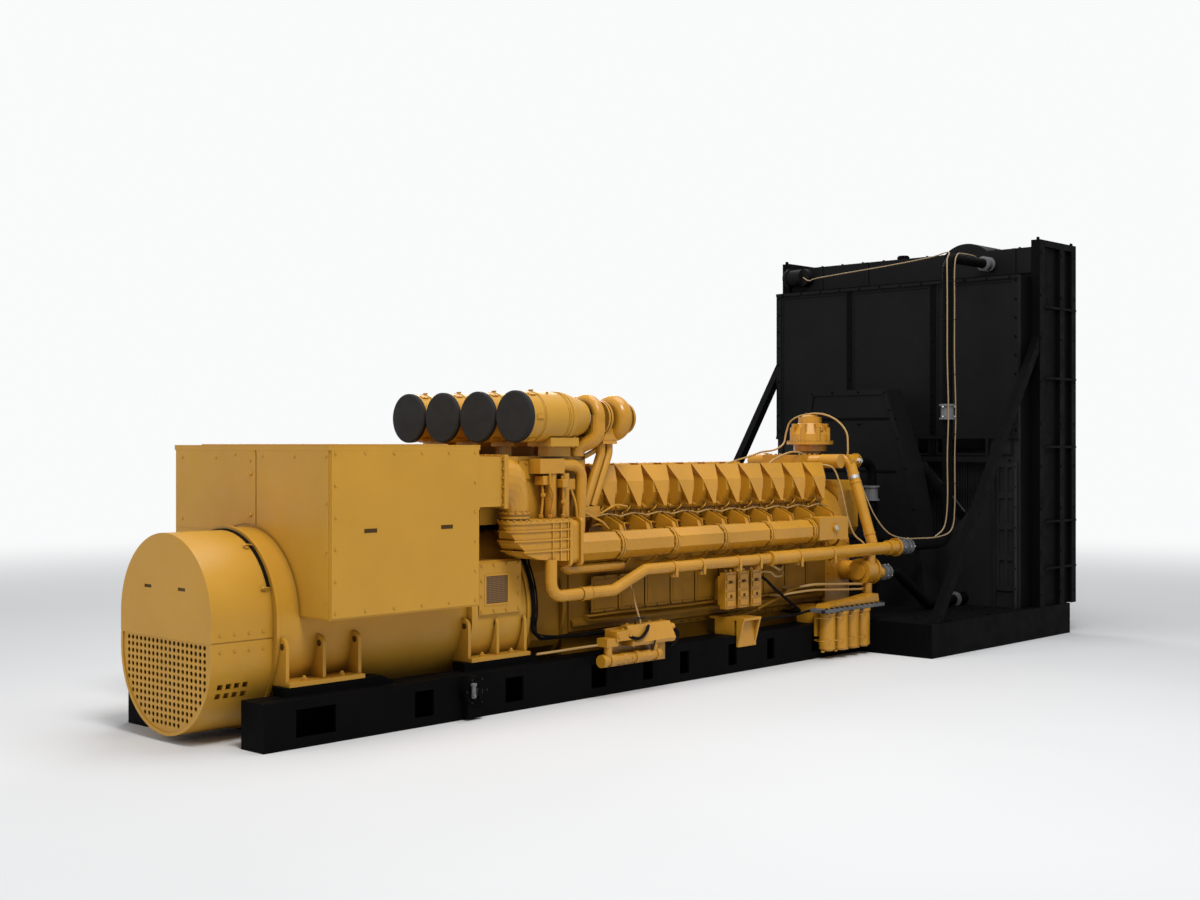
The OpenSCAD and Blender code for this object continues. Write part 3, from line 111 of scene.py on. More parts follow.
def paint(name, color, roughness, drift, gloss=0.5, grain=260, shade=0.0):
    """Sprayed paint: slow colour drift, painted shade darkening the corners, dull patches and orange
    peel.
    """
    mat, tree, shader = new_material(name, color, roughness, gloss)
    coords = object_coords(tree)
    low = [c * (1 - drift) for c in color]
    high = [c * (1 + drift * 0.5) for c in color]
    tone = ramp(tree, noise(tree, coords, 2.3, 5.0), [(0.3, low), (0.62, color), (0.8, high)])
    if shade:
        # Painted shade: ambient occlusion darkens the corners towards a third of the colour
        occlusion = add_node(tree, "AmbientOcclusion", {"Distance": 0.09}, samples=8)
        corner = ramp(tree, occlusion.outputs["AO"], [(0.25, grey(shade)), (0.8, grey(0.0))])
        shaded_color = [c * 0.3 for c in color]
        tone = add_node(tree, "Mix", {0: corner, 6: tone, 7: (*shaded_color, 1)}, data_type="RGBA").outputs[2]
    tree.links.new(tone, shader.inputs["Base Color"])
    dull = [(0.3, grey(roughness - 0.07)), (0.7, grey(roughness + 0.12))]
    tree.links.new(ramp(tree, noise(tree, coords, 9.0, 4.0), dull), shader.inputs["Roughness"])
    bump(tree, shader, noise(tree, coords, grain, 2.0), 0.1, 0.0006)
    return mat


def plated(name, color):
    """Zinc plate: metal whose gloss changes from grain to grain."""
    mat, tree, shader = new_material(name, color, 0.38, metallic=0.9)
    grain = noise(tree, object_coords(tree), 140)
    dull = ramp(tree, grain, [(0.3, grey(0.3)), (0.7, grey(0.48))])
    tree.links.new(dull, shader.inputs["Roughness"])
    return mat


def banded(name, color, roughness, gloss, bands, operation, stops, relief=0.0):
    """Two sets of fine bands joined into one pattern, such as wire mesh or a core's fins."""
    mat, tree, shader = new_material(name, color, roughness, gloss)
    coords = object_coords(tree)
    waves = [add_node(tree, "TexWave", {"Scale": scale, "Vector": coords}, bands_direction=axis)
             for axis, scale in bands]
    both = math_node(tree, operation, *[wave.outputs["Fac"] for wave in waves])
    tree.links.new(ramp(tree, both, stops), shader.inputs["Base Color"])
    if relief:
        bump(tree, shader, both, 0.5, relief)
    return mat


# Record slot, colour, roughness, colour drift, gloss, grain of the orange peel, painted shade in corners
PAINTS = {
    "yellow_paint": ("yellow_paint", (0.56, 0.288, 0.03), 0.37, 0.08, 0.3, 260, 0.75),
    "cast_paint": ("yellow_paint", (0.585, 0.275, 0.019), 0.28, 0.16, 0.42, 160, 0.85),
    # Painted shade: yellow darkened on the block, flywheel housing and pan, which lie in shade under the
    # plenum
    "shaded_block_paint": ("yellow_paint", (0.32, 0.15, 0.011), 0.5, 0.28, 0.15, 160, 0.95),
    # Painted shade: yellow darkened on the heads, which lie in shade between the rocker covers and the
    # plenum
    "shaded_head_paint": ("yellow_paint", (0.4, 0.18, 0.013), 0.42, 0.3, 0.25, 160, 0.95),
    "tan_hose": ("yellow_paint", (0.47, 0.29, 0.095), 0.5, 0.12, 0.5, 600),
    "pale_wire": ("yellow_paint", (0.31, 0.22, 0.115), 0.5, 0.12, 0.5, 600),
    "plate_metal": ("grey_rubber", (0.135, 0.135, 0.14), 0.42, 0.35, 0.5, 300),
    "grey_rubber": ("grey_rubber", (0.125, 0.127, 0.135), 0.5, 0.2, 0.5, 300),
    "black_paint": ("black_paint", (0.0038, 0.0038, 0.0041), 0.52, 0.25, 0.02),
    "panel_paint": ("black_paint", (0.0078, 0.0078, 0.0081), 0.5, 0.2, 0.06),
    # Painted light: the black lightened on the fan ring's columns, which otherwise fall in shade
    "lit_column_paint": ("black_paint", (0.015, 0.015, 0.0155), 0.5, 0.2, 0.12),
    "dark_paint": ("dark_paint", (0.01, 0.01, 0.011), 0.5, 0.25, 0.2),
    # Painted shade: dark brown for the insides of slots, holes and recesses
    "recess_shade_paint": ("dark_paint", (0.075, 0.038, 0.007), 0.6, 0.3, 0.2),
    # Painted shade: near black for sheets put where an inside lies in shade
    "shade_sheet_black": ("dark_paint", (0.0012, 0.001, 0.001), 0.9, 0.3, 0.0),
    "black_rubber": ("black_rubber", (0.0065, 0.0058, 0.0055), 0.6, 0.2, 0.05, 500),
    "cap_plastic": ("cap_plastic", (0.023, 0.023, 0.023), 0.6, 0.12, 0.12, 700),
}
FINISHES = {name: (slot, paint(name, *look)) for name, (slot, *look) in PAINTS.items()}
FINISHES["zinc"] = ("grey_rubber", plated("zinc", (0.52, 0.5, 0.46)))
# Brown wire mesh in the coupling's windows
FINISHES["mesh_screen"] = ("dark_paint", banded(
    "mesh_screen", (0.17, 0.085, 0.02), 0.6, 0.5, [("X", 26), ("Z", 26)], "MAXIMUM",
    [(0.72, (0.02, 0.011, 0.004)), (0.86, (0.24, 0.12, 0.03))]))
# Core face: close level fins, with the rows of tubes across them
FINISHES["core_metal"] = ("core_metal", banded(
    "finned_core", (0.012, 0.012, 0.013), 0.55, 0.15, [("Z", 40), ("Y", 11)], "MULTIPLY",
    [(0.1, (0.006, 0.006, 0.0065)), (0.8, (0.034, 0.034, 0.036))], 0.004))

# CAD nodes whose finish isn't simply their slot's
WEARERS = {
    "shaded_block_paint": ("crankcase", "flywheel_housing", "oil_pan"),
    "shaded_head_paint": ("cylinder_heads",),
    "cast_paint": (
        "intake_plenum_near", "intake_plenum_far", "exhaust_manifold", "turbochargers",
        "exhaust_ducts", "gear_case", "front_pipes", "fuel_filters", "oil_filters", "priming_unit",
        "engine_brackets", "breather", "rocker_covers", "intake_elbow_near", "intake_elbow_far",
        "aftercooler_pipes", "water_pipe_near", "water_pipe_far",
    ),
    "panel_paint": ("front_panels", "belt_guard", "top_tank"),
    "lit_column_paint": ("fan_ring",),
}
finish_of = {node: finish for finish, wearers in WEARERS.items() for node in wearers}
for part in frame["record"]["subparts"]:
    mesh = frame["nodes"][part["node"]].data
    mesh.materials.clear()
    mesh.materials.append(FINISHES[finish_of.get(part["node"], part["material_slot"])][1])

# ---- Camera, level and at the photograph's viewpoint ----
VIEW_AZIMUTH = 313.2
camera_data = bpy.data.cameras.new("camera")
camera_data.sensor_width = 36.0
camera_data.lens = 46.11
camera_data.shift_y = -0.0041667
camera_data.clip_end = 200
camera = bpy.data.objects.new("camera", camera_data)
camera.location = (-9.4817, -8.298, 1.8)
camera.rotation_euler = (radians(90), 0, radians(VIEW_AZIMUTH - 360))
bpy.context.scene.collection.objects.link(camera)
bpy.context.scene.camera = camera


# ---- Making pieces ----
SIDES = (-1, 1)  # near, far
X, Y, Z = Vector((1, 0, 0)), Vector((0, 1, 0)), Vector((0, 0, 1))
FRONT, REAR, NEAR, UP, DOWN = X, -X, -Y, Z, -Z  # facings; the front is the radiator's end
ACROSS, ALONG, LEVEL = (Y, Z), (X, Z), (X, Y)  # planes for circles
BUILDERS = []


def piece(finish, smooth=False):
    """Marks a function that fills the mesh of one piece, which gets the function's name."""
    def mark(build):
        BUILDERS.append((build, finish, smooth))
        return build
    return mark


def rounded(finish):
    """The same for a piece that is shaded smooth."""
    return piece(finish, smooth=True)


def add_piece(build, finish, smooth):
    name = build.__name__
    slot, material = FINISHES[finish]
    bm = bmesh.new()
    build(bm)
    bmesh.ops.recalc_face_normals(bm, faces=bm.faces)
    mesh = bpy.data.meshes.new(name)
    bm.to_mesh(mesh)
    bm.free()
    mesh.materials.append(material)
    if smooth:
        for poly in mesh.polygons:
            poly.use_smooth = True
        mesh.set_sharp_from_angle(angle=radians(35))
    made = bpy.data.objects.new(name, mesh)
    bpy.context.scene.collection.objects.link(made)
    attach(made, "root")


def box(node):
    low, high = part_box(node)
    return Vector(low), Vector(high)


def middle(node):
    low, high = box(node)
    return (low + high) / 2


def spread(a, b, count):
    return [a + (b - a) * k / (count - 1) for k in range(count)]


def turn(count):
    """Even angles round a full turn."""
    return [2 * pi * k / count for k in range(count)]


def circle(centre, radius, plane, angles):
    u, v = plane
    return [Vector(centre) + radius * (cos(a) * u + sin(a) * v) for a in angles]


def on_side(s, points, start=(0, 0, 0)):
    """Points of one flank, measured from a start. Their Y is a distance from the set's middle."""
    x, y, z = start
    return [(x + dx, s * (y + dy), z + dz) for dx, dy, dz in points]


def skin(bm, rings):
    """Closed surface over rings of points."""
    rings = [[bm.verts.new(point) for point in ring] for ring in rings]
    for lower, upper in zip(rings, rings[1:]):
        for k in range(len(lower)):
            after = (k + 1) % len(lower)
            bm.faces.new((lower[k], lower[after], upper[after], upper[k]))
    bm.faces.new(rings[0][::-1])
    bm.faces.new(rings[-1])


def lathe(bm, point, normal, profile, sides=12):
    """Turned form that stands on a point. The profile is (radius, height) from the foot up."""
    rotation = Vector(normal).normalized().to_track_quat("Z", "Y").to_matrix().to_4x4()
    place = Matrix.Translation(Vector(point)) @ rotation
    skin(bm, [[place @ p for p in circle((0, 0, height), radius, LEVEL, turn(sides))]
              for radius, height in profile])


def bolt(bm, point, normal, size, head=0.7):
    """Washer and chamfered hexagon head. Size is the head's half width, head its height over that."""
    rim, top = size * 1.35, size * (0.2 + head)
    lathe(bm, point, normal, [(rim, -0.001), (rim, size * 0.16), (size * 1.25, size * 0.22)])
    lathe(bm, point, normal, [(size, size * 0.2), (size, top * 0.85), (size * 0.86, top)], 6)


def bolts(bm, points, normal, size, head=0.7):
    for point in points:
        bolt(bm, point, normal, size, head)


def side_bolts(bm, spots, y, size, head=0.7):
    """Bolts at (x, z) spots on both flanks, at a distance y from the set's middle plane."""
    for s, (x, z) in product(SIDES, spots):
        bolt(bm, (x, s * y, z), s * Y, size, head)


def block(bm, centre, size, bevel=0.0):
    """Block with chamfered edges."""
    made = bmesh.ops.create_cube(bm, size=1.0)["verts"]
    for vert in made:
        vert.co = Vector(centre) + vert.co * Vector(size)
    if bevel:
        edges = {edge for vert in made for edge in vert.link_edges}
        bmesh.ops.bevel(bm, geom=list(edges), offset=bevel, segments=2, affect="EDGES", profile=0.5)


def slab(bm, low, high, bevel=0.0):
    """Block between two corners."""
    low, high = Vector(low), Vector(high)
    block(bm, (low + high) / 2, high - low, bevel)


def rod(bm, path, radius, sides=8):
    """Round bar from point to point, ends closed."""
    path = [Vector(point) for point in path]
    normal = None
    rings = []
    for back, point, ahead in zip([path[0]] + path, path, path[1:] + [path[-1]]):
        along = (ahead - back).normalized()
        if normal is None:
            normal = along.orthogonal().normalized()
        normal = (normal - along * normal.dot(along)).normalized()
        rings.append(circle(point, radius, (normal, along.cross(normal)), turn(sides)))
    skin(bm, rings)


def tube(bm, points, radius, sides=8, per=6):
    """Round tube on a smooth (Catmull-Rom) route through the points, in steps of 1 / per."""
    points = [Vector(point) for point in points]
    points = [points[0] * 2 - points[1]] + points + [points[-1] * 2 - points[-2]]
    path = []
    for a, b, c, d in zip(points, points[1:], points[2:], points[3:]):
        for t in [k / per for k in range(per)]:
            bend = (2 * a - 5 * b + 4 * c - d) * t * t + (3 * b - a - 3 * c + d) * t ** 3
            path.append(0.5 * (2 * b + (c - a) * t + bend))
    rod(bm, path + [points[-2]], radius, sides)


def hoop(bm, centre, radius, wire, plane=ACROSS, steps=32):
    """Ring of thin wire."""
    rod(bm, circle(centre, radius, plane, spread(0, 2 * pi, steps + 1)), wire, 6)


# ---- Terminal box ----
PANEL_LOW, PANEL_HIGH = box("box_panel_far")
BOX_LOW, BOX_HIGH = box("terminal_box")
LID = BOX_HIGH.z
DOOR_X = box("box_doors")[0].x
SCREW = (0.0085, 0.5)


@piece("yellow_paint")
def box_screws(bm):
    """Round both side panels and over the doors."""
    inset = 0.03
    xs = spread(PANEL_LOW.x + inset, PANEL_HIGH.x - inset, 6)
    zs = spread(PANEL_LOW.z + inset, PANEL_HIGH.z - inset, 6)
    border = [*product(xs, (zs[0], zs[-1])), *product((xs[0], xs[-1]), zs[1:-1])]
    side_bolts(bm, border, PANEL_HIGH.y, *SCREW)
    doors = [(0.76, 1.72), (0.36, 1.72), (0.14, 1.74), (-0.03, 1.7), (-0.16, 1.73), (-0.82, 1.73),
             (-0.5, 1.73), (-0.82, 1.45), (-0.82, 1.16), (-0.82, 0.86), (0.76, 1.31)]
    bolts(bm, [(DOOR_X, y, z) for y, z in doors], REAR, *SCREW)


@rounded("yellow_paint")
def leaf_latches(bm):
    for z in (1.62, 1.36):
        profile = [(0.015, 0), (0.015, 0.005), (0.011, 0.008), (0.01, 0.011)]
        lathe(bm, (DOOR_X, -0.035, z), REAR, profile, 16)


@piece("yellow_paint")
def lid_rims(bm):
    """Folded rim round the lid, and the strips over its seams."""
    under, over = LID - 0.034, LID - 0.009
    for y in (BOX_LOW.y + 0.004, BOX_HIGH.y - 0.004):
        slab(bm, (BOX_LOW.x, y - 0.0035, under), (BOX_HIGH.x, y + 0.0035, over), 0.0015)
    for x in (BOX_LOW.x + 0.0035, BOX_HIGH.x - 0.0035):
        slab(bm, (x - 0.0034, BOX_LOW.y + 0.004, under), (x + 0.0034, BOX_HIGH.y - 0.004, over), 0.0015)
    for y in (-0.55, 0.0, 0.55):
        slab(bm, (BOX_LOW.x + 0.02, y - 0.012, LID - 0.001),
             (BOX_HIGH.x - 0.02, y + 0.012, LID + 0.006), 0.003)


@piece("recess_shade_paint")
def panel_slots(bm):
    """Painted shade of the grip slots pressed into the side panels, with a painted shadow under each
    lip.
    """
    slot_z = LID - 0.532
    for s, x in product(SIDES, (BOX_LOW.x + 0.309, BOX_HIGH.x - 0.287)):
        block(bm, (x, s * 0.8535, slot_z + 0.011), (0.094, 0.0024, 0.018))
        block(bm, (x, s * 0.8558, slot_z - 0.00125), (0.1, 0.0024, 0.0035))


# ---- Fan hood ----
HOOD_LOW, HOOD_HIGH = box("fan_hood")
HOOD_RADIUS = HOOD_HIGH.y
GRILLE_TOP = box("intake_grille")[1].z


@piece("shade_sheet_black")
def grille_shade_sheet(bm):
    """Painted shade: dark sheet just behind the grille's holes, standing in for the hood's shaded
    inside.
    """
    x = box("intake_grille")[1].x + 0.016
    radius = HOOD_RADIUS - 0.026
    arc = circle((x, 0, HOOD_LOW.z + HOOD_RADIUS), radius, ACROSS, spread(pi, 2 * pi, 40))
    corners = [Vector((x, s * radius, GRILLE_TOP - 0.004)) for s in SIDES]
    outline = [corners[0], *arc, corners[1]]
    skin(bm, [outline, [point + X * 0.005 for point in outline]])


@piece("yellow_paint")
def hood_screws(bm):
    """Over and under the seam on each flank, and flat rivets on the rear face."""
    for rise, sunk in ((0.05, 0.0), (-0.05, 0.0005)):
        spots = product(spread(HOOD_LOW.x + 0.06, HOOD_LOW.x + 0.36, 4), [GRILLE_TOP + rise])
        side_bolts(bm, spots, HOOD_RADIUS - sunk, 0.009, 0.5)
    for y, z in ((-0.36, 1.05), (0.36, 1.05), (-0.46, 0.72), (0.46, 0.72), (0.0, 1.2)):
        lathe(bm, (HOOD_LOW.x, y, z), REAR, [(0.012, -0.001), (0.012, 0.0004), (0.009, 0.0012)], 16)


@piece("recess_shade_paint")
def hood_grips(bm):
    """Painted shade of two slots under the hood's crown, each with a rolled lip."""
    lip = HOOD_LOW.x + 0.0045
    for y in (-0.19, 0.19):
        block(bm, (HOOD_LOW.x + 0.0055, y, 0.9365), (0.005, 0.076, 0.015))
        rod(bm, [(lip, y - 0.04, 0.926), (lip, y + 0.04, 0.926)], 0.004)


@rounded("yellow_paint")
def seal_clamps(bm):
    """Toggle clamps that hold the hood's seal on the barrel's ring."""
    x = box("hood_seal")[1].x - 0.045
    for s, a in product(SIDES, (0.35, 0.95)):
        out = Vector((0, s * cos(a), sin(a)))
        foot = Vector((x, 0, 0.758)) + out * 0.512
        lathe(bm, foot, out, [(0.016, 0), (0.016, 0.008), (0.009, 0.011), (0.009, 0.02)])
        tube(bm, [foot + out * 0.016 - X * 0.03, foot + out * 0.024, foot + out * 0.016 + X * 0.035],
             0.004, per=4)


# ---- Alternator feet and coupling housing ----
FEET_LOW, FEET_HIGH = box("alternator_feet_near")
FEET = ((FEET_LOW.x, FEET_LOW.x + 0.568), (FEET_HIGH.x - 0.544, FEET_HIGH.x))  # start, end
FOOT_TOP = box("rail_near")[1].z + 0.026
CASE_LOW, CASE_HIGH = box("coupling_housing")
WINDOW_LOW, WINDOW_HIGH = CASE_LOW.x + 0.094, CASE_HIGH.x - 0.224
SHAFT_Z = middle("crank_damper").z


@piece("yellow_paint")
def foot_bolts(bm):
    """Two bolts a foot, with a stud's end over each."""
    for (start, end), s, share in product(FEET, SIDES, (0.25, 0.75)):
        spot = Vector((start + (end - start) * share, s * 0.6, FOOT_TOP))
        bolt(bm, spot, UP, 0.019)
        lathe(bm, spot + Z * 0.014, UP, [(0.01, 0), (0.01, 0.012), (0.008, 0.015)], 10)


@piece("recess_shade_paint")
def foot_lift_holes(bm):
    """Painted shade in the holes near the top of each gusset."""
    for (start, end), s, face in product(FEET, SIDES, SIDES):
        for x in spread(start + 0.012, end - 0.012, 3):
            lathe(bm, (x + face * 0.0118, s * 0.572, FEET_HIGH.z - 0.052), face * X,
                  [(0.021, 0), (0.021, 0.0006), (0.02, 0.0008)], 20)


@piece("yellow_paint")
def coupling_screws(bm):
    """Round the side covers, and round the flanges at both ends."""
    ends = (CASE_LOW.x + 0.055, CASE_HIGH.x - 0.125)
    spots = [*product(spread(*ends, 4), (0.672, 0.985)), *product(ends, (0.775, 0.88))]
    side_bolts(bm, spots, CASE_HIGH.y, 0.01, 0.6)
    bolts(bm, circle((CASE_HIGH.x + 0.0395, 0, SHAFT_Z), 0.572, ACROSS, turn(36)), FRONT, 0.014)
    bolts(bm, circle((CASE_LOW.x + 0.0295, 0, SHAFT_Z), 0.594, ACROSS, turn(28)), FRONT, 0.005, 0.5)


@piece("mesh_screen")
def coupling_window_mesh(bm):
    for s in SIDES:
        y = s * (CASE_HIGH.y - 0.004)
        slab(bm, (WINDOW_LOW, y - 0.001, 0.716), (WINDOW_HIGH, y + 0.001, 0.914))


@piece("yellow_paint")
def coupling_window_rim(bm):
    low, high = WINDOW_LOW - 0.004, WINDOW_HIGH + 0.004
    for s in SIDES:
        y = s * CASE_HIGH.y
        for z in (0.714, 0.916):
            slab(bm, (low - 0.008, y - 0.003, z - 0.008), (high + 0.008, y + 0.003, z + 0.008), 0.0015)
        for x in (low, high):
            slab(bm, (x - 0.008, y - 0.0029, 0.712), (x + 0.008, y + 0.0029, 0.918), 0.0015)


# ---- Cylinder heads ----
BANK = radians(28)
PITCH = 0.298
CYLINDERS = [-1.161 + i * PITCH for i in range(10)]


def bank(u, v):
    """Distance from the middle plane, and height, of a point on either bank: v along the bores
    from the shaft, u across them towards the valley."""
    return v * sin(BANK) - u * cos(BANK), SHAFT_Z + u * sin(BANK) + v * cos(BANK)


@piece("cast_paint")
def head_bolts(bm):
    """On each head's outer face and shelf, and on its rocker cover."""
    pair = (-0.118, 0.118)
    for x, s in product(CYLINDERS, SIDES):
        outward = (0, s * cos(BANK), -sin(BANK))
        upward = (0, s * sin(BANK), cos(BANK))
        for offsets, u, v, normal, size in (
            (pair, -0.1405, 0.648, outward, 0.01), (pair, -0.1405, 0.752, outward, 0.01),
            (pair, -0.128, 0.838, upward, 0.009), ((-0.02,), -0.1405, 0.7, outward, 0.009),
            ((-0.05, 0.05), 0.08, 1.0805, (0, s * 0.05, 1), 0.007),
        ):
            y, z = bank(u, v)
            bolts(bm, [(x + dx, s * y, z) for dx in offsets], normal, size)


@rounded("cast_paint")
def fuel_pump_caps(bm):
    y, z = bank(-0.156, 0.764)
    for x, s in product(CYLINDERS, SIDES):
        lathe(bm, (x - 0.079, s * y, z), (0, s * sin(BANK), cos(BANK)),
              [(0.02, 0), (0.02, 0.016), (0.012, 0.022), (0.012, 0.04), (0.008, 0.044)])


@rounded("cast_paint")
def fuel_lines(bm):
    """High-pressure line from each pump into its head, and the feed line along the bank."""
    pump, head = bank(-0.156, 0.8), bank(-0.128, 0.86)
    y, z = bank(-0.178, 0.87)
    feed = [(-0.149, 0, 0), (-0.08, 0.006, 0.012), (0, 0, -0.004), (0.075, -0.004, -0.01), (0.149, 0, 0)]
    for x, s in product(CYLINDERS, SIDES):
        tube(bm, [(x - 0.079, s * pump[0], pump[1]), (x - 0.075, s * y, z - 0.02),
                  (x - 0.04, s * (y - 0.012), z + 0.005), (x - 0.012, s * head[0], head[1] - 0.02)],
             0.0055, 7, 5)
        tube(bm, on_side(s, feed, (x, *bank(-0.215, 0.735))), 0.0085, per=4)


@rounded("tan_hose")
def leak_off_lines(bm):
    """Light line along each bank, with a clip to every head."""
    line = [(-0.149, 0, 0), (-0.03, 0.012, 0.022), (0.06, 0.01, 0.016), (0.149, 0, 0)]
    y, z = bank(-0.2, 0.8)
    clip_y, clip_z = bank(-0.136, 0.775)
    for x, s in product(CYLINDERS, SIDES):
        tube(bm, on_side(s, line, (x, y, z)), 0.0065, 7, 4)
        rod(bm, [(x + 0.11, s * clip_y, clip_z), (x + 0.11, s * y, z + 0.014)], 0.006, 6)


# ---- Block ----
UNION_NUT = [(0.012, 0), (0.018, 0.004), (0.018, 0.026), (0.012, 0.03)]


@piece("shaded_block_paint")
def block_bolts(bm):
    """Round the inspection covers, at the cylinder feet and along the pan's flange."""
    for x in CYLINDERS:
        side_bolts(bm, product((x - 0.13, x, x + 0.13), (0.577, 0.823)), 0.532, 0.008)
        side_bolts(bm, [(x - 0.149, 0.91)], 0.506, 0.013)
        side_bolts(bm, product((x - 0.1, x, x + 0.1), [0.404]), 0.44, 0.008)


@piece("shaded_block_paint")
def inspection_covers(bm):
    """Flat covers, nearly edge to edge, each with a raised field."""
    for x, s in product(CYLINDERS, SIDES):
        block(bm, (x, s * 0.5285, 0.7), (0.286, 0.007, 0.27), 0.003)
        block(bm, (x, s * 0.5305, 0.7), (0.236, 0.011, 0.22), 0.004)


@rounded("shaded_block_paint")
def block_loom(bm):
    """Loom low on each side of the block."""
    route = [(-1.35, 0.51, 0.548), (-1.3, 0.545, 0.548), (-0.9, 0.55, 0.553), (-0.3, 0.545, 0.547),
             (0.3, 0.55, 0.552), (0.9, 0.545, 0.55), (1.45, 0.548, 0.553), (1.5, 0.51, 0.553)]
    for s in SIDES:
        tube(bm, on_side(s, route), 0.01, per=5)


@rounded("black_rubber")
def fuel_hoses(bm):
    """Dark hoses from the fuel filters, to the oil filters and round the priming unit."""
    tube(bm, [(0.525, -0.64, 0.725), (0.59, -0.655, 0.718), (0.65, -0.665, 0.685), (0.74, -0.665, 0.622),
              (0.93, -0.665, 0.51), (1.09, -0.665, 0.415), (1.16, -0.6, 0.385), (1.18, -0.5, 0.38),
              (1.18, -0.42, 0.385)], 0.013)
    tube(bm, [(0.46, -0.7, 0.372), (0.7, -0.705, 0.385), (0.95, -0.7, 0.38), (1.08, -0.745, 0.405),
              (1.13, -0.775, 0.413)], 0.011)
    tube(bm, [(-1.34, -0.8, 0.44), (-1.27, -0.865, 0.42), (-1.17, -0.885, 0.4), (-1.08, -0.87, 0.44),
              (-1.02, -0.84, 0.475)], 0.012)
    tube(bm, [(-0.74, -0.81, 0.44), (-0.69, -0.84, 0.4), (-0.7, -0.83, 0.34), (-0.76, -0.82, 0.3)],
         0.014)


@rounded("tan_hose")
def fuel_pipes(bm):
    """Light pipes at the filters, along the rail and down to the priming unit."""
    tube(bm, [(0.525, -0.65, 0.745), (0.57, -0.67, 0.765), (0.66, -0.69, 0.76), (0.74, -0.68, 0.72),
              (0.86, -0.66, 0.72), (0.94, -0.6, 0.745), (0.97, -0.52, 0.75)], 0.009)
    tube(bm, [(1.03, -0.52, 0.6), (1.06, -0.64, 0.6), (1.12, -0.72, 0.618), (1.22, -0.75, 0.624),
              (1.6, -0.75, 0.602), (1.95, -0.765, 0.582)], 0.011)
    tube(bm, [(0.83, -0.52, 0.55), (0.86, -0.64, 0.55), (0.93, -0.72, 0.571), (1.2, -0.75, 0.578),
              (1.5, -0.75, 0.56), (1.8, -0.76, 0.545), (1.95, -0.77, 0.54)], 0.009)
    tube(bm, [(0.64, -0.52, 0.85), (0.68, -0.57, 0.845), (0.78, -0.62, 0.8), (0.88, -0.62, 0.76),
              (1.0, -0.56, 0.78), (1.03, -0.52, 0.785)], 0.011)
    tube(bm, [(-2.03, -0.7, 0.352), (-1.85, -0.715, 0.356), (-1.6, -0.72, 0.36), (-1.46, -0.78, 0.372),
              (-1.4, -0.8, 0.39)], 0.009)
    tube(bm, [(-1.01, -0.52, 0.815), (-1.02, -0.62, 0.81), (-1.04, -0.7, 0.72), (-1.05, -0.74, 0.62),
              (-1.06, -0.79, 0.52), (-1.06, -0.8, 0.49)], 0.007)


@rounded("shaded_block_paint")
def drain_pipe(bm):
    """Pipe from the pan to the filter bracket, and the unions of the light pipes beside it."""
    tube(bm, [(0.38, -0.43, 0.41), (0.42, -0.56, 0.412), (0.6, -0.6, 0.455), (0.76, -0.6, 0.493),
              (0.9, -0.605, 0.53), (0.96, -0.65, 0.58), (1.1, -0.68, 0.612)], 0.012)
    for x, z in ((0.585, 0.451), (0.885, 0.526)):
        lathe(bm, (x, -0.602, z), (0.97, 0, 0.24), UNION_NUT, 8)
    for point in ((1.888, -0.762, 0.586), (1.885, -0.768, 0.5425)):
        lathe(bm, point, (0.99, 0, -0.05), UNION_NUT, 6)


# ---- Intake side: plenums, elbows, water pipes and aftercooler ----
PLENUM_Y = 0.7
ELBOW_X = -2.241
WATER_Y, WATER_Z = 0.8, 0.885


@piece("cast_paint")
def intake_bolts(bm):
    """Round the plenum's joints, at the intake ports, and on the elbow's three flanges."""
    joints = [-1.262 + 0.596 * i for i in range(5)]
    port_y, port_z = bank(-0.16, 0.764)
    rear = [*product((0.808, 0.592), spread(1.4, 1.7, 6)), *product(spread(0.64, 0.76, 3), [1.725])]
    for s in SIDES:
        y = s * PLENUM_Y
        for x, a in product(joints, spread(-2.6, 1.4, 9)):
            bolt(bm, (x, s * (PLENUM_Y - 0.1 * sin(a)), 1.075 + 0.1 * cos(a)), REAR, 0.007, 0.8)
        for x, dx in product(CYLINDERS, (-0.02, 0.02)):
            bolt(bm, (x + dx, s * (port_y + 0.012), port_z + 0.042), (0, s * 0.45, 0.9), 0.007)
        bolts(bm, product(spread(-2.2, -1.83, 7), (s * 0.815, s * 0.585), [1.286]), UP, 0.0085)
        bolts(bm, circle((ELBOW_X, y, 1.286), 0.115, LEVEL, spread(pi / 2, 1.5 * pi, 9)), UP, 0.0085)
        bolts(bm, circle((ELBOW_X, y, 1.344), 0.108, LEVEL, turn(14)), UP, 0.007)
        for x, normal in ((-2.434, FRONT), (-2.448, REAR)):
            bolts(bm, [(x, s * out, z) for out, z in rear], normal, 0.009)


@rounded("zinc")
def plenum_plugs(bm):
    y = box("intake_plenum_far")[1].y
    for s in SIDES:
        lathe(bm, (1.41, s * y, 1.095), s * Y,
              [(0.024, -0.004), (0.024, 0.008), (0.017, 0.012), (0.016, 0.008), (0.01, 0.008)], 20)


@rounded("cast_paint")
def pipe_sleeves(bm):
    """Sleeve joint on the low run of each water pipe."""
    for s, (x, radius, length) in product(
            SIDES, ((-1.7, 0.0475, 0.1), (-1.7, 0.051, 0.012), (-1.61, 0.051, 0.012))):
        taper = 0.0025 if length > 0.05 else 0.002
        lathe(bm, (x, s * WATER_Y, 0.7525), (1, 0, 0.006),
              [(radius, 0), (radius, length), (radius - taper, length + 0.002)], 24)


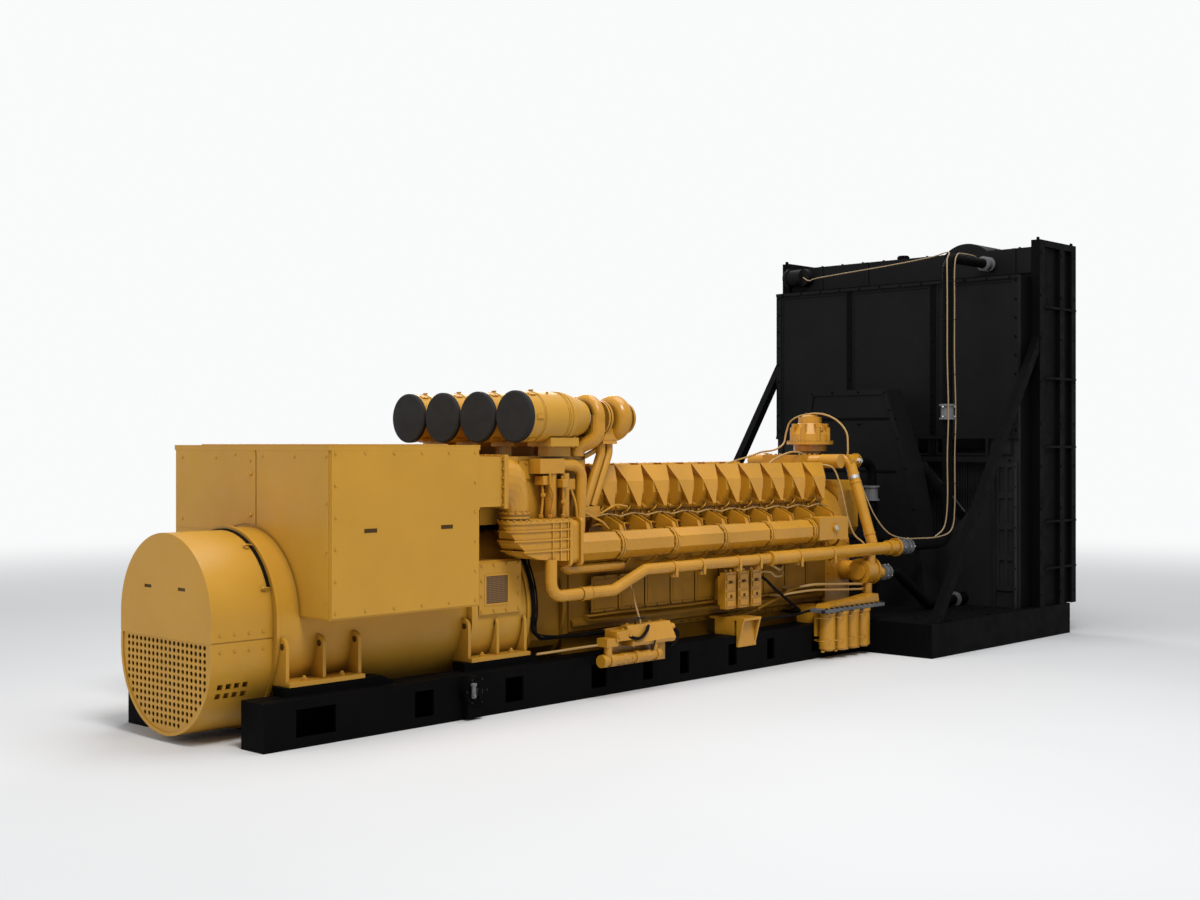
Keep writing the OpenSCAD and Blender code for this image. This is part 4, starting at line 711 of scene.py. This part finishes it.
@rounded("cast_paint")
def pipe_clips(bm):
    """Clip bands with their tails on the water pipes, and the plenum's feet on the block."""
    for s, k in product(SIDES, (2, 3.1, 4.6, 5.5, 7.3, 8.9)):
        x = CYLINDERS[0] + (k - 0.5) * PITCH
        radius = 0.042 if k < 6 else 0.054
        lathe(bm, (x, s * WATER_Y, WATER_Z), FRONT,
              [(radius + 0.005, 0), (radius + 0.005, 0.026), (radius, 0.027)], 24)
        y, tail = s * (WATER_Y + radius + 0.001), radius + 0.032
        block(bm, (x + 0.013, y, WATER_Z - tail / 2), (0.026, 0.01, tail), 0.002)
    foot = [(0.04, 0.745, 0.985), (0.052, 0.715, 0.955), (0.066, 0.65, 0.925), (0.07, 0.512, 0.905)]
    for s, x in product(SIDES, CYLINDERS):
        tube(bm, on_side(s, foot, (x, 0, 0)), 0.011, per=3)


@rounded("cast_paint")
def cooler_lines(bm):
    """Small lines between the aftercooler, the elbow and the plenum."""
    for s, (radius, *route) in product(SIDES, (
        (0.009, (-1.93, 0.62, 1.6), (-1.935, 0.66, 1.5), (-1.93, 0.655, 1.4), (-1.95, 0.66, 1.29)),
        (0.01, (-1.77, 0.69, 1.58), (-1.772, 0.7, 1.48), (-1.765, 0.7, 1.36), (-1.77, 0.7, 1.29)),
        (0.008, (-1.9, 0.7, 1.6), (-1.9, 0.705, 1.52), (-1.87, 0.71, 1.44), (-1.885, 0.7, 1.34),
         (-1.88, 0.69, 1.29)),
        (0.01, (-1.62, 0.62, 1.5), (-1.61, 0.66, 1.4), (-1.6, 0.67, 1.3), (-1.6, 0.68, 1.18)),
        (0.009, (-1.5, 0.64, 1.32), (-1.44, 0.68, 1.28), (-1.36, 0.7, 1.24), (-1.3, 0.7, 1.19)),
        (0.008, (-1.34, 0.655, 1.3), (-1.27, 0.69, 1.345), (-1.16, 0.66, 1.36), (-1.05, 0.655, 1.345)),
    )):
        tube(bm, on_side(s, route), radius)


@piece("cast_paint")
def cooler_fittings(bm):
    """Union nuts on the small lines, and the blocks that they start from."""
    nut = [(0.016, 0), (0.018, 0.004), (0.018, 0.022), (0.014, 0.026)]
    for s in SIDES:
        for x, y, z in ((-1.9, 0.7, 1.288), (-1.77, 0.7, 1.288), (-1.95, 0.66, 1.288),
                        (-1.77, 0.7, 1.388), (-1.93, 0.66, 1.438), (-1.6, 0.68, 1.188)):
            lathe(bm, (x, s * y, z), UP, nut, 6)
        block(bm, (-1.9225, s * 0.645, 1.5525), (0.065, 0.09, 0.065), 0.006)
        block(bm, (-1.7725, s * 0.665, 1.53), (0.055, 0.13, 0.06), 0.006)
        block(bm, (-1.62, s * 0.606, 1.52), (0.08, 0.068, 0.08), 0.006)


@piece("cast_paint")
def cooler_bolts(bm):
    side_bolts(bm, product(spread(-2.01, -1.5, 5), (1.675, 1.575)), 0.572, 0.01)
    bolts(bm, product((-2.36, -1.42), spread(-0.5, 0.5, 6), [1.72]), UP, 0.01)


# ---- Turbochargers and air cleaners ----
TURBO_YS = (-0.57, -0.19, 0.19, 0.57)
TURBO_Z = middle("intake_sleeves").z
CAP_X = box("air_cleaner_caps")[0].x


@piece("cast_paint")
def turbo_bolts(bm):
    for y in TURBO_YS:
        for x, radius, count, normal in ((-1.354, 0.112, 12, REAR), (-1.272, 0.112, 12, REAR),
                                         (-1.244, 0.112, 12, FRONT), (-0.985, 0.103, 10, FRONT)):
            bolts(bm, circle((x, y, TURBO_Z), radius, ACROSS, turn(count)), normal, 0.008)


@rounded("zinc")
def turbo_bands(bm):
    """Hose bands on the inlet sleeves."""
    for y, x in product(TURBO_YS, (-1.478, -1.456)):
        hoop(bm, (x, y, TURBO_Z), 0.0975, 0.004)


@rounded("cast_paint")
def turbo_lines(bm):
    """Oil feed, which loops to a side, and oil drain."""
    for y, way, lean in zip(TURBO_YS, (1, -1, 1, -1), (0.02, 0.02, 0.02, -0.02)):
        tube(bm, [(-1.31, y, 2.1), (-1.31, y + lean, 2.14), (-1.36, y + way * 0.09, 2.12),
                  (-1.38, y + way * 0.17, 2.02), (-1.37, y + way * 0.18, 1.86),
                  (-1.42, y + way * 0.16, 1.73)], 0.009)
        tube(bm, [(-1.2, y, 1.93), (-1.21, y, 1.85), (-1.27, y, 1.78), (-1.38, y, 1.73),
                  (-1.43, y, 1.715)], 0.02)


@rounded("yellow_paint")
def can_straps(bm):
    """Two straps round each can, drawn as their raised edges."""
    for y, x, edge in product(TURBO_YS, (-1.99, -1.75), (0.0, 0.016)):
        hoop(bm, (x + edge, y, TURBO_Z), 0.1775, 0.0035, steps=48)


@rounded("cast_paint")
def can_gauges(bm):
    """Restriction gauge and plug on top of each can."""
    for y in TURBO_YS:
        lathe(bm, (-1.93, y + 0.03, TURBO_Z + 0.172), (0, 0.15, 1),
              [(0.014, 0), (0.014, 0.012), (0.018, 0.014), (0.018, 0.02), (0.008, 0.022)], 14)
        lathe(bm, (-1.86, y - 0.06, TURBO_Z + 0.164), (0, -0.3, 1),
              [(0.01, 0), (0.01, 0.012), (0.006, 0.014)], 10)


@rounded("cap_plastic")
def cap_steps(bm):
    """Pressed step on each cap's face."""
    for y in TURBO_YS:
        hoop(bm, (CAP_X + 0.003, y, TURBO_Z), 0.16, 0.003, steps=48)


@piece("cast_paint")
def saddle_bolts(bm):
    for y in TURBO_YS:
        bolts(bm, product((-1.84, -1.64), (y - 0.095, y + 0.095), [1.79]), DOWN, 0.01)


# ---- Front end ----
RISER_X, RISER_Y = 3.01, -0.951
RISER_TOP = box("riser_pipes")[1].z - 0.046
BREATHER_X, BREATHER_Y = middle("breather").x, middle("breather").y


@piece("cast_paint")
def front_bolts(bm):
    """On the gear case, its pump covers, the pipe flanges and the breather."""
    for s in SIDES:
        for z, y in ((0.44, 0.5), (0.62, 0.5), (0.8, 0.5), (0.95, 0.49), (1.1, 0.45), (1.26, 0.38)):
            bolt(bm, (1.68, s * y, z), REAR, 0.013)
        for x, y, z, radius, count, normal, size, head in (
            (2.054, 0.74, 0.694, 0.1165, 10, FRONT, 0.006, 0.8),
            (2.03, 0.74, 0.694, 0.1165, 10, REAR, 0.006, 0.8),
            (2.352, WATER_Y, WATER_Z, 0.068, 8, REAR, 0.008, 0.7),
            (2.169, 0.5, 1.66, 0.061, 8, REAR, 0.005, 0.7),
        ):
            bolts(bm, circle((x, s * y, z), radius, ACROSS, turn(count)), normal, size, head)
        bolts(bm, [(x, s * 0.19, 1.71) for x in spread(1.77, 1.99, 4)], UP, 0.012)
    side_bolts(bm, product((1.73, 2.02), spread(0.42, 0.94, 5)), 0.52, 0.012)
    side_bolts(bm, product(spread(1.77, 1.99, 4), [1.5]), 0.21, 0.012)
    bolts(bm, circle((BREATHER_X, BREATHER_Y, 1.831), 0.198, LEVEL, turn(12)), UP, 0.009)


@rounded("cast_paint")
def breather_caps(bm):
    """Filler cap on top, and six plugs round the slope."""
    top = [(0.078, -0.002), (0.078, 0.006), (0.06, 0.016), (0.02, 0.022), (0.016, 0.03), (0.008, 0.034)]
    lathe(bm, (BREATHER_X, BREATHER_Y, 2.0562), UP, top, 24)
    for a in turn(6):
        out = Vector((cos(a + 0.26), sin(a + 0.26), 0))
        lathe(bm, Vector((BREATHER_X, BREATHER_Y, 1.93)) + 0.15 * out, 0.5 * out + 0.9 * Z,
              [(0.022, 0), (0.022, 0.02), (0.016, 0.028), (0.014, 0.04)])


@rounded("tan_hose")
def breather_hose(bm):
    """Light hose looped over the breather and back along the bank, and two short ones."""
    tube(bm, [(2.1, -0.47, 1.7), (2.1, -0.475, 1.78), (2.11, -0.45, 1.92), (2.12, -0.33, 2.03),
              (2.14, -0.15, 2.085), (2.14, 0.05, 2.075), (2.12, 0.17, 2.02), (2.1, 0.205, 1.92),
              (2.06, 0.21, 1.81), (1.92, 0.21, 1.755), (1.72, 0.21, 1.735), (1.55, 0.2, 1.7),
              (1.3, 0.2, 1.655), (1.05, 0.2, 1.6), (0.9, 0.12, 1.5), (0.86, 0.05, 1.4)],
         0.0085, per=7)
    tube(bm, [(1.2, -0.06, 1.42), (1.24, -0.14, 1.55), (1.32, -0.19, 1.645), (1.45, -0.18, 1.69),
              (1.62, -0.19, 1.735), (1.76, -0.2, 1.73), (1.81, -0.2, 1.7)], 0.009)
    tube(bm, [(1.66, -0.5, 1.63), (1.74, -0.56, 1.6), (1.78, -0.6, 1.48), (1.8, -0.64, 1.3),
              (1.82, -0.66, 1.17), (1.86, -0.7, 1.02), (1.91, -0.755, 0.95), (1.93, -0.79, 0.9)], 0.008)


@rounded("pale_wire")
def riser_hoses(bm):
    """Light hoses that follow the coolant riser and the tank's top."""
    top = RISER_TOP
    tube(bm, [(2.13, -0.58, 1.5), (2.14, -0.64, 1.34), (2.17, -0.72, 1.16), (2.25, -0.8, 1.02),
              (2.42, -0.84, 0.965), (2.62, -0.87, 0.955), (2.84, -0.96, 0.965), (2.98, -1.012, 1.03),
              (3.03, -1.015, 1.25), (3.035, -1.012, 1.7), (3.03, -1.025, 2.1), (3.03, -1.012, 2.6),
              (3.035, -1.01, 3.1), (3.045, -1.005, top - 0.09), (3.1, -1.0, top + 0.03),
              (3.22, -0.985, top + 0.052), (3.4, -0.972, top + 0.054), (3.5, -0.962, top + 0.048),
              (3.55, -0.955, top + 0.025)], 0.006, per=7)
    tube(bm, [(2.8, -0.945, 0.9635), (2.9, -0.985, 1.06), (2.945, -0.99, 1.3), (2.95, -0.985, 1.7),
              (2.945, -1.0, 2.1), (2.95, -0.985, 2.6), (2.95, -0.985, 3.1), (2.955, -0.98, top - 0.14),
              (2.99, -0.96, top - 0.02), (3.06, -0.93, top + 0.056), (3.25, -0.62, top + 0.05),
              (3.42, -0.1, top + 0.035), (3.54, 0.5, top + 0.015), (3.6, 0.92, top - 0.005),
              (3.63, 1.04, top - 0.02), (3.64, 1.12, top + 0.02)], 0.006, per=7)


@rounded("black_rubber")
def hose_ties(bm):
    for z in (1.45, 1.9, 2.45, 2.95, 3.3):
        hoop(bm, (RISER_X + 0.004, RISER_Y - 0.01, z), 0.066, 0.003, LEVEL, 24)


@rounded("zinc")
def front_fittings(bm):
    """Coupling and plug on the coolant outlet, and a clamp band on the slanted pipe."""
    lathe(bm, (2.184, -0.5, 1.66), FRONT,
          [(0.04, 0), (0.04, 0.012), (0.03, 0.016), (0.03, 0.036), (0.024, 0.042)], 16)
    lathe(bm, (2.15, -0.556, 1.66), NEAR,
          [(0.026, -0.004), (0.026, 0.016), (0.018, 0.02), (0.018, 0.034)], 6)
    lathe(bm, (2.0855, -0.545, 1.53), (0.001, -0.013, -0.04),
          [(0.0515, 0), (0.0515, 0.034), (0.05, 0.036)], 24)


@rounded("cast_paint")
def front_clamps(bm):
    """Bands along the slanted pipe, which starts at the first point and runs down the slope."""
    slope = Vector((0.005, -0.24, -0.75))
    for z in (1.545, 1.475, 1.02):
        spot = Vector((2.085, -0.5, 1.675)) + slope * ((1.675 - z) / 0.75)
        lathe(bm, spot, slope, [(0.0535, 0), (0.0535, 0.016), (0.05, 0.018)], 24)


@rounded("zinc")
def band_screws(bm):
    """Screws of the hose bands on the riser, the outlets and the low pump hoses."""
    for z, out in product((2.06, 2.15), (NEAR, REAR)):
        lathe(bm, Vector((RISER_X, RISER_Y, z)) + 0.073 * out, out,
              [(0.009, -0.004), (0.009, 0.01), (0.006, 0.012)], 10)
    for x, out in product((2.42, 2.52, 2.58), (UP, NEAR)):
        lathe(bm, Vector((x, -WATER_Y, WATER_Z)) + 0.068 * out, out,
              [(0.008, -0.002), (0.008, 0.008), (0.005, 0.01)], 10)
    for s, x, a in product(SIDES, (2.15, 2.21), turn(4)):
        out = Vector((0, cos(a + 0.4), sin(a + 0.4)))
        lathe(bm, Vector((x, s * WATER_Y, 0.674)) + 0.068 * out, out,
              [(0.007, -0.002), (0.007, 0.008), (0.004, 0.01)], 8)


# ---- Filters, priming unit and battery isolator ----
PLATE_Z = 0.4
FUEL_LOW, FUEL_HIGH = box("fuel_filters")
FUEL_PITCH = 0.168
PRIMING_Y, PRIMING_Z = -0.835, 0.262
ISOLATOR_X = box("battery_isolator")[0].x
ISOLATOR_Z = 0.19


@piece("plate_metal")
def filter_plate(bm):
    """Bare plate over the oil filters, with a toothed edge."""
    slab(bm, (1.108, -0.93, PLATE_Z - 0.0015), (1.992, -0.758, PLATE_Z + 0.0275), 0.004)
    for x in spread(1.175, 1.925, 11):
        block(bm, (x, -0.931, PLATE_Z + 0.013), (0.014, 0.006, 0.022), 0.002)


@piece("dark_paint")
def filter_nuts(bm):
    for x in spread(1.14, 1.96, 12):
        bolt(bm, (x, -0.915, PLATE_Z + 0.0275), UP, 0.012, 0.9)
        bolt(bm, (x, -0.915, PLATE_Z - 0.0015), DOWN, 0.01)
    for x, normal in ((1.12, REAR), (1.98, FRONT)):
        lathe(bm, (x, -0.905, PLATE_Z + 0.012), normal, [(0.018, -0.006), (0.018, 0.02), (0.012, 0.03)])


@rounded("cast_paint")
def filter_rims(bm):
    """Rolled seams and drain plug of each oil filter."""
    for x, y in ((1.205, -0.827), (1.344, -0.86), (1.509, -0.86), (1.674, -0.86)):
        for z in (0.352, 0.16):
            hoop(bm, (x, y, z), 0.0705, 0.003, LEVEL)
        lathe(bm, (x, y, 0.069), DOWN, [(0.016, -0.004), (0.016, 0.01), (0.01, 0.012)], 6)


@piece("recess_shade_paint")
def fuel_filter_recess_shade(bm):
    """Painted shade of two recesses on each fuel filter's face."""
    for i, rise in product(range(3), (0.102, 0.214)):
        block(bm, (FUEL_LOW.x + i * FUEL_PITCH + 0.067, FUEL_LOW.y + 0.0041, FUEL_LOW.z + rise),
              (0.034, 0.0098, 0.028), 0.004)


@piece("cast_paint")
def fuel_filter_screws(bm):
    """Screws at each filter's corners, and two unions on its top."""
    for x in [FUEL_LOW.x + i * FUEL_PITCH for i in range(3)]:
        corners = product((x + 0.012, x + 0.12), [-0.69], (FUEL_LOW.z + 0.01, FUEL_HIGH.z - 0.01))
        bolts(bm, corners, NEAR, 0.007, 0.8)
        for dx in (0.035, 0.097):
            lathe(bm, (x + dx, -0.663, FUEL_HIGH.z), UP,
                  [(0.014, 0), (0.014, 0.012), (0.009, 0.014), (0.009, 0.022)], 6)


@piece("cast_paint")
def priming_bolts(bm):
    """Bolts of the priming unit, its end cover, and union nuts along its pump."""
    bolts(bm, [(x, -0.86, 0.352) for x in spread(-1.2, -0.78, 4)], (0, -1, -0.2), 0.009)
    for x in (-1.38, -1.26):
        bolt(bm, (x, -0.875, 0.43), NEAR, 0.012)
        bolt(bm, (x, -0.8, 0.465), UP, 0.012)
    bolts(bm, [(x, -0.765, 0.49) for x in spread(-1.17, -0.8, 4)], UP, 0.01)
    lathe(bm, (box("priming_unit")[0].x, PRIMING_Y, PRIMING_Z), REAR,
          [(0.042, -0.006), (0.042, 0.0), (0.036, -0.002)], 24)
    for x in (-1.41, -1.3, -1.05):
        lathe(bm, (x, PRIMING_Y, PRIMING_Z), FRONT,
              [(0.041, 0), (0.044, 0.003), (0.044, 0.022), (0.041, 0.025)], 6)
    lathe(bm, (-1.22, -0.876, PRIMING_Z), NEAR, [(0.012, -0.008), (0.012, 0.002), (0.008, 0.004)], 10)


@rounded("dark_paint")
def priming_lever(bm):
    """Pump lever, and the valve's lever on the tray."""
    tube(bm, [(-1.0, -0.862, 0.3), (-1.0, -0.876, 0.335), (-0.99, -0.88, 0.37)], 0.006)
    tube(bm, [(-1.12, -0.8, 0.492), (-1.12, -0.8, 0.52), (-1.09, -0.8, 0.533), (-1.02, -0.8, 0.533)],
         0.006)


@piece("dark_paint")
def isolator_screws(bm):
    """Six screws on the switch's face, round the boss of its handle."""
    x = ISOLATOR_X + 0.098
    bolts(bm, circle((x, -0.827, ISOLATOR_Z), 0.085, ALONG, turn(6)), NEAR, 0.006, 0.6)
    lathe(bm, (x, -0.841, ISOLATOR_Z), NEAR, [(0.03, -0.002), (0.03, 0.008), (0.024, 0.012)], 20)


@rounded("grey_rubber")
def isolator_handle(bm):
    x = ISOLATOR_X + 0.043
    slab(bm, (x - 0.015, -0.864, 0.15), (x + 0.015, -0.846, 0.245), 0.006)
    lathe(bm, (x, -0.864, 0.166), NEAR, [(0.013, -0.004), (0.013, 0.005), (0.008, 0.008)], 14)
    slab(bm, (x - 0.019, -0.868, 0.228), (x + 0.019, -0.842, 0.25), 0.005)


# ---- Skid and radiator base ----
RAIL_LOW, RAIL_HIGH = box("rail_near")
BASE_TOP = box("radiator_base")[1].z


@rounded("black_paint")
def skid_welds(bm):
    """Beads under the feet's plates, and where the rails meet the radiator's base."""
    z = RAIL_HIGH.z - 0.0545
    for s in SIDES:
        for start, end in ((0.223, 0.968), (1.658, 2.308)):
            rod(bm, [(RAIL_LOW.x + start, s * 0.6505, z), (RAIL_LOW.x + end, s * 0.6505, z)], 0.005, 6)
        x, y = RAIL_HIGH.x - 0.004, s * RAIL_LOW.y
        rod(bm, [(x, y, 0.005), (x, y, BASE_TOP - 0.001)], 0.006, 6)


@piece("black_paint")
def base_bolts(bm):
    bolts(bm, product((2.25, 2.9, 3.6), (-1.43, 1.43), [BASE_TOP]), UP, 0.016)
    bolts(bm, product((2.2, 2.4, 3.2, 3.45), (-1.1, -0.4, 0.4, 1.1), [BASE_TOP]), UP, 0.013)


# ---- Radiator ----
FACE_X = 3.55  # the panels' outer face
PANELS_LOW, PANELS_HIGH = box("front_panels")
RIB_YS = (-0.48, 0.48)  # between the three panels
GUARD_X = box("belt_guard")[0].x
CORE_LOW, CORE_HIGH = box("radiator_core")
TANK_X = box("bottom_tank")[1].x


@piece("black_paint")
def panel_bolts(bm):
    for y in (-1.356, *RIB_YS, 1.356):
        for z in spread(PANELS_LOW.z + 0.3, PANELS_HIGH.z - 0.05, 9):
            bolt(bm, (FACE_X - 0.016, y, z), REAR, 0.01)
    bolts(bm, product([FACE_X - 0.024], spread(-1.3, 1.3, 12), (1.655, 3.365)), REAR, 0.009)
    bolts(bm, product([FACE_X - 0.048], (-1.374, 1.374), spread(0.47, 1.6, 7)), REAR, 0.005)


@piece("panel_paint")
def panel_folds(bm):
    """Raised border round each panel."""
    for left, right in ((-1.326, -0.51), (-0.45, 0.45), (0.51, 1.326)):
        for y in (left + 0.012, right - 0.012):
            slab(bm, (FACE_X - 0.008, y - 0.01, 1.7), (FACE_X + 0.001, y + 0.01, 3.34), 0.003)
        for z in (1.71, 3.33):
            slab(bm, (FACE_X - 0.0079, left + 0.004, z - 0.01),
                 (FACE_X + 0.001, right - 0.004, z + 0.01), 0.003)


@piece("black_paint")
def panel_ribs(bm):
    """Darker faces on the ribs between the panels."""
    for y in RIB_YS:
        slab(bm, (FACE_X - 0.0168, y - 0.029, 1.69), (FACE_X - 0.0155, y + 0.029, 3.36), 0.0005)


@piece("shade_sheet_black")
def slot_shade_sheets(bm):
    """Painted shade: dark sheets behind the slots in the columns."""
    for s in SIDES:
        block(bm, (FACE_X + 0.01, s * 1.254, 1.04), (0.003, 0.2, 1.16))


@piece("black_paint")
def guard_screws(bm):
    """Round the belt guard's edge, and three hinge leaves down its middle."""
    edge = [(-0.7, 0.33), (-0.655, 0.8), (-0.612, 1.2), (-0.532, 1.581), (-0.44, 1.86), (-0.35, 2.13),
            (-0.29, 2.3), (0.0, 2.305), (0.3, 2.305), (0.54, 2.3), (0.6, 1.95), (0.672, 1.581),
            (0.69, 1.0), (0.71, 0.4)]
    bolts(bm, [(GUARD_X, y, z) for y, z in edge], REAR, 0.009)
    for z in (2.0, 1.5, 0.9):
        block(bm, (GUARD_X + 0.01, 0, z), (0.012, 0.04, 0.016), 0.002)


@piece("black_paint")
def guard_ribs(bm):
    for z in (0.9, 1.55, 2.05):
        block(bm, (GUARD_X + 0.01125, 0, z), (0.0065, 0.84, 0.024), 0.004)


@piece("black_paint")
def frame_bolts(bm):
    """Up the side frames' columns, and at both ends of the braces."""
    columns = (box("side_frame_near")[0].x + 0.03, 4.2, 4.47)
    side_bolts(bm, product(columns, spread(0.4, 3.6, 9)), 1.4799, 0.011, 0.35)
    side_bolts(bm, [(2.02, 0.34), (3.72, 2.7)], 1.476, 0.007, 0.8)


@rounded("black_paint")
def tank_fittings(bm):
    """Lifting eyes on the side frames, the filler cap and the bolts of the top tank's flanges."""
    for s, x in product(SIDES, (3.8, 4.47)):
        block(bm, (x, s * 1.445, 3.7315), (0.044, 0.016, 0.033), 0.007)
    cap = [(0.05, -0.002), (0.05, 0.03), (0.062, 0.034), (0.062, 0.06), (0.05, 0.072), (0.02, 0.076)]
    lathe(bm, (4.1, 0.2, 3.66), UP, cap, 24)
    bolts(bm, product((3.815, 4.385), spread(-1.25, 1.25, 11), [3.66]), UP, 0.011)


@piece("black_paint")
def core_bars(bm):
    """Guard bars over the core's outer face."""
    x = CORE_HIGH.x
    for z in spread(CORE_LOW.z + 0.2, CORE_HIGH.z - 0.2, 7):
        slab(bm, (x + 0.0005, -1.372, z - 0.014), (x + 0.018, 1.372, z + 0.014), 0.004)
    for y in spread(-1.36, 1.36, 5):
        slab(bm, (x + 0.018, y - 0.018, CORE_LOW.z), (x + 0.03, y + 0.018, CORE_HIGH.z), 0.004)


@rounded("black_paint")
def core_guard(bm):
    """Wire grid over the bars."""
    wire = 0.0032
    x = CORE_HIGH.x + 0.034
    for z in spread(CORE_LOW.z + 0.03, CORE_HIGH.z - 0.03, 56):
        rod(bm, [(x, -1.37, z), (x, 1.37, z)], wire, 5)
    x = CORE_HIGH.x + 0.04
    for y in spread(-1.36, 1.36, 54):
        rod(bm, [(x, y, CORE_LOW.z), (x, y, CORE_HIGH.z)], wire, 5)


@rounded("black_paint")
def tank_drains(bm):
    """Two drain cocks, and the bolt rows of both tanks."""
    cock = [(0.03, 0), (0.03, 0.012), (0.018, 0.016), (0.018, 0.04), (0.024, 0.042), (0.024, 0.06)]
    for y in (-0.9, 0.9):
        lathe(bm, (TANK_X, y, 0.36), FRONT, cock, 16)
    bolts(bm, product([TANK_X], spread(-1.3, 1.3, 11), (0.53, 0.31, 3.45, 3.63)), FRONT, 0.01)


# ---- Harness ----
def round_housing(angle, reach):
    """Point at an angle from the top, on the near side of the coupling housing."""
    return Vector((0, -reach * sin(radians(angle)), SHAFT_Z + reach * cos(radians(angle))))


@rounded("black_rubber")
def harness_branch(bm):
    """Thin branch beside the harness cable, on to the priming unit."""
    arc = [round_housing(angle, 0.636) - X * 1.962 for angle in range(52, 104, 10)]
    tube(bm, [(-2.6, -0.45, 1.235), (-2.2, -0.455, 1.236), *arc, (-1.93, -0.64, 0.47),
              (-1.6, -0.64, 0.435), (-1.35, -0.65, 0.435), (-1.2, -0.72, 0.455),
              (-1.14, -0.775, 0.468)], 0.007, 7, 5)


@rounded("black_rubber")
def harness_clips(bm):
    for angle in (56, 76, 96):
        out = round_housing(angle, 1) - SHAFT_Z * Z
        hoop(bm, round_housing(angle, 0.622) - X * 1.974, 0.024, 0.004, (X, out), 16)


for builder in BUILDERS:
    add_piece(*builder)

# ---- Stage and light ----
BACKDROP = (0.955, 0.96, 0.965, 1)


def is_seen(tree):
    """1 for rays that see the backdrop itself, its reflection or it through glass, else 0."""
    path = tree.nodes.new("ShaderNodeLightPath").outputs
    straight = math_node(tree, "MAXIMUM", path["Is Camera Ray"], path["Is Glossy Ray"])
    return math_node(tree, "MAXIMUM", straight, path["Is Transmission Ray"])


def mix_shader(tree, fac, a, b, output):
    mix = add_node(tree, "MixShader", {"Fac": fac, 1: a.outputs[0], 2: b.outputs[0]})
    tree.links.new(mix.outputs[0], tree.nodes[output].inputs["Surface"])


def set_world():
    """Seen as the backdrop, but lights the set only weakly."""
    world = bpy.data.worlds.new("world")
    bpy.context.scene.world = world
    world.use_nodes = True
    tree = world.node_tree
    lit = tree.nodes["Background"]
    lit.inputs["Color"].default_value = (0.95, 0.97, 1.0, 1)
    lit.inputs["Strength"].default_value = 0.21
    seen = add_node(tree, "Background", {"Color": BACKDROP, "Strength": 1.0})
    mix_shader(tree, is_seen(tree), lit, seen, "World Output")


def add_light(name, location, aim, size, power, color=(1, 1, 1)):
    data = bpy.data.lights.new(name, "AREA")
    data.shape = "DISK"
    data.size = size
    data.energy = power
    data.color = color
    light = bpy.data.objects.new(name, data)
    light.location = location
    light.rotation_euler = (Vector(aim) - Vector(location)).to_track_quat("-Z", "Y").to_euler()
    bpy.context.scene.collection.objects.link(light)


def add_floor():
    """Pale floor that fades into the backdrop's own colour far from the set."""
    bpy.ops.mesh.primitive_plane_add(size=240)
    floor = bpy.context.object
    floor.name = "floor"
    mat, tree, shader = new_material("floor", (0.73, 0.74, 0.75), 0.8, 0.1)
    coords = object_coords(tree)
    stops = [(0.3, (0.72, 0.73, 0.745)), (0.7, (0.74, 0.75, 0.765))]
    tree.links.new(ramp(tree, noise(tree, coords, 0.4, 2.0), stops), shader.inputs["Base Color"])
    glow = add_node(tree, "Emission", {"Color": BACKDROP, "Strength": 1.0})
    distance = add_node(tree, "VectorMath", {0: coords}, operation="LENGTH").outputs["Value"]
    fade = add_node(tree, "MapRange", {"From Min": 3.0, "From Max": 21, "Value": distance},
                    interpolation_type="SMOOTHERSTEP")
    far = math_node(tree, "MULTIPLY", fade.outputs["Result"], is_seen(tree))
    mix_shader(tree, far, shader, glow, "Material Output")
    floor.data.materials.append(mat)


set_world()
add_floor()
add_light("key", (-6.0, -8.0, 12), (-0.5, 0.0, 1.0), 4.5, 1180, (1.0, 0.985, 0.96))
add_light("fill", (-13, 3.0, 5.0), (-1.5, 0.0, 1.0), 7.0, 260)
add_light("back", (7.0, 9.0, 8.0), (1.0, 0.0, 1.5), 6.0, 380)
add_light("top", (0.0, -1.0, 11), (0.0, 0.0, 0.0), 8.0, 620)
bpy.context.scene.view_settings.view_transform = "Standard"
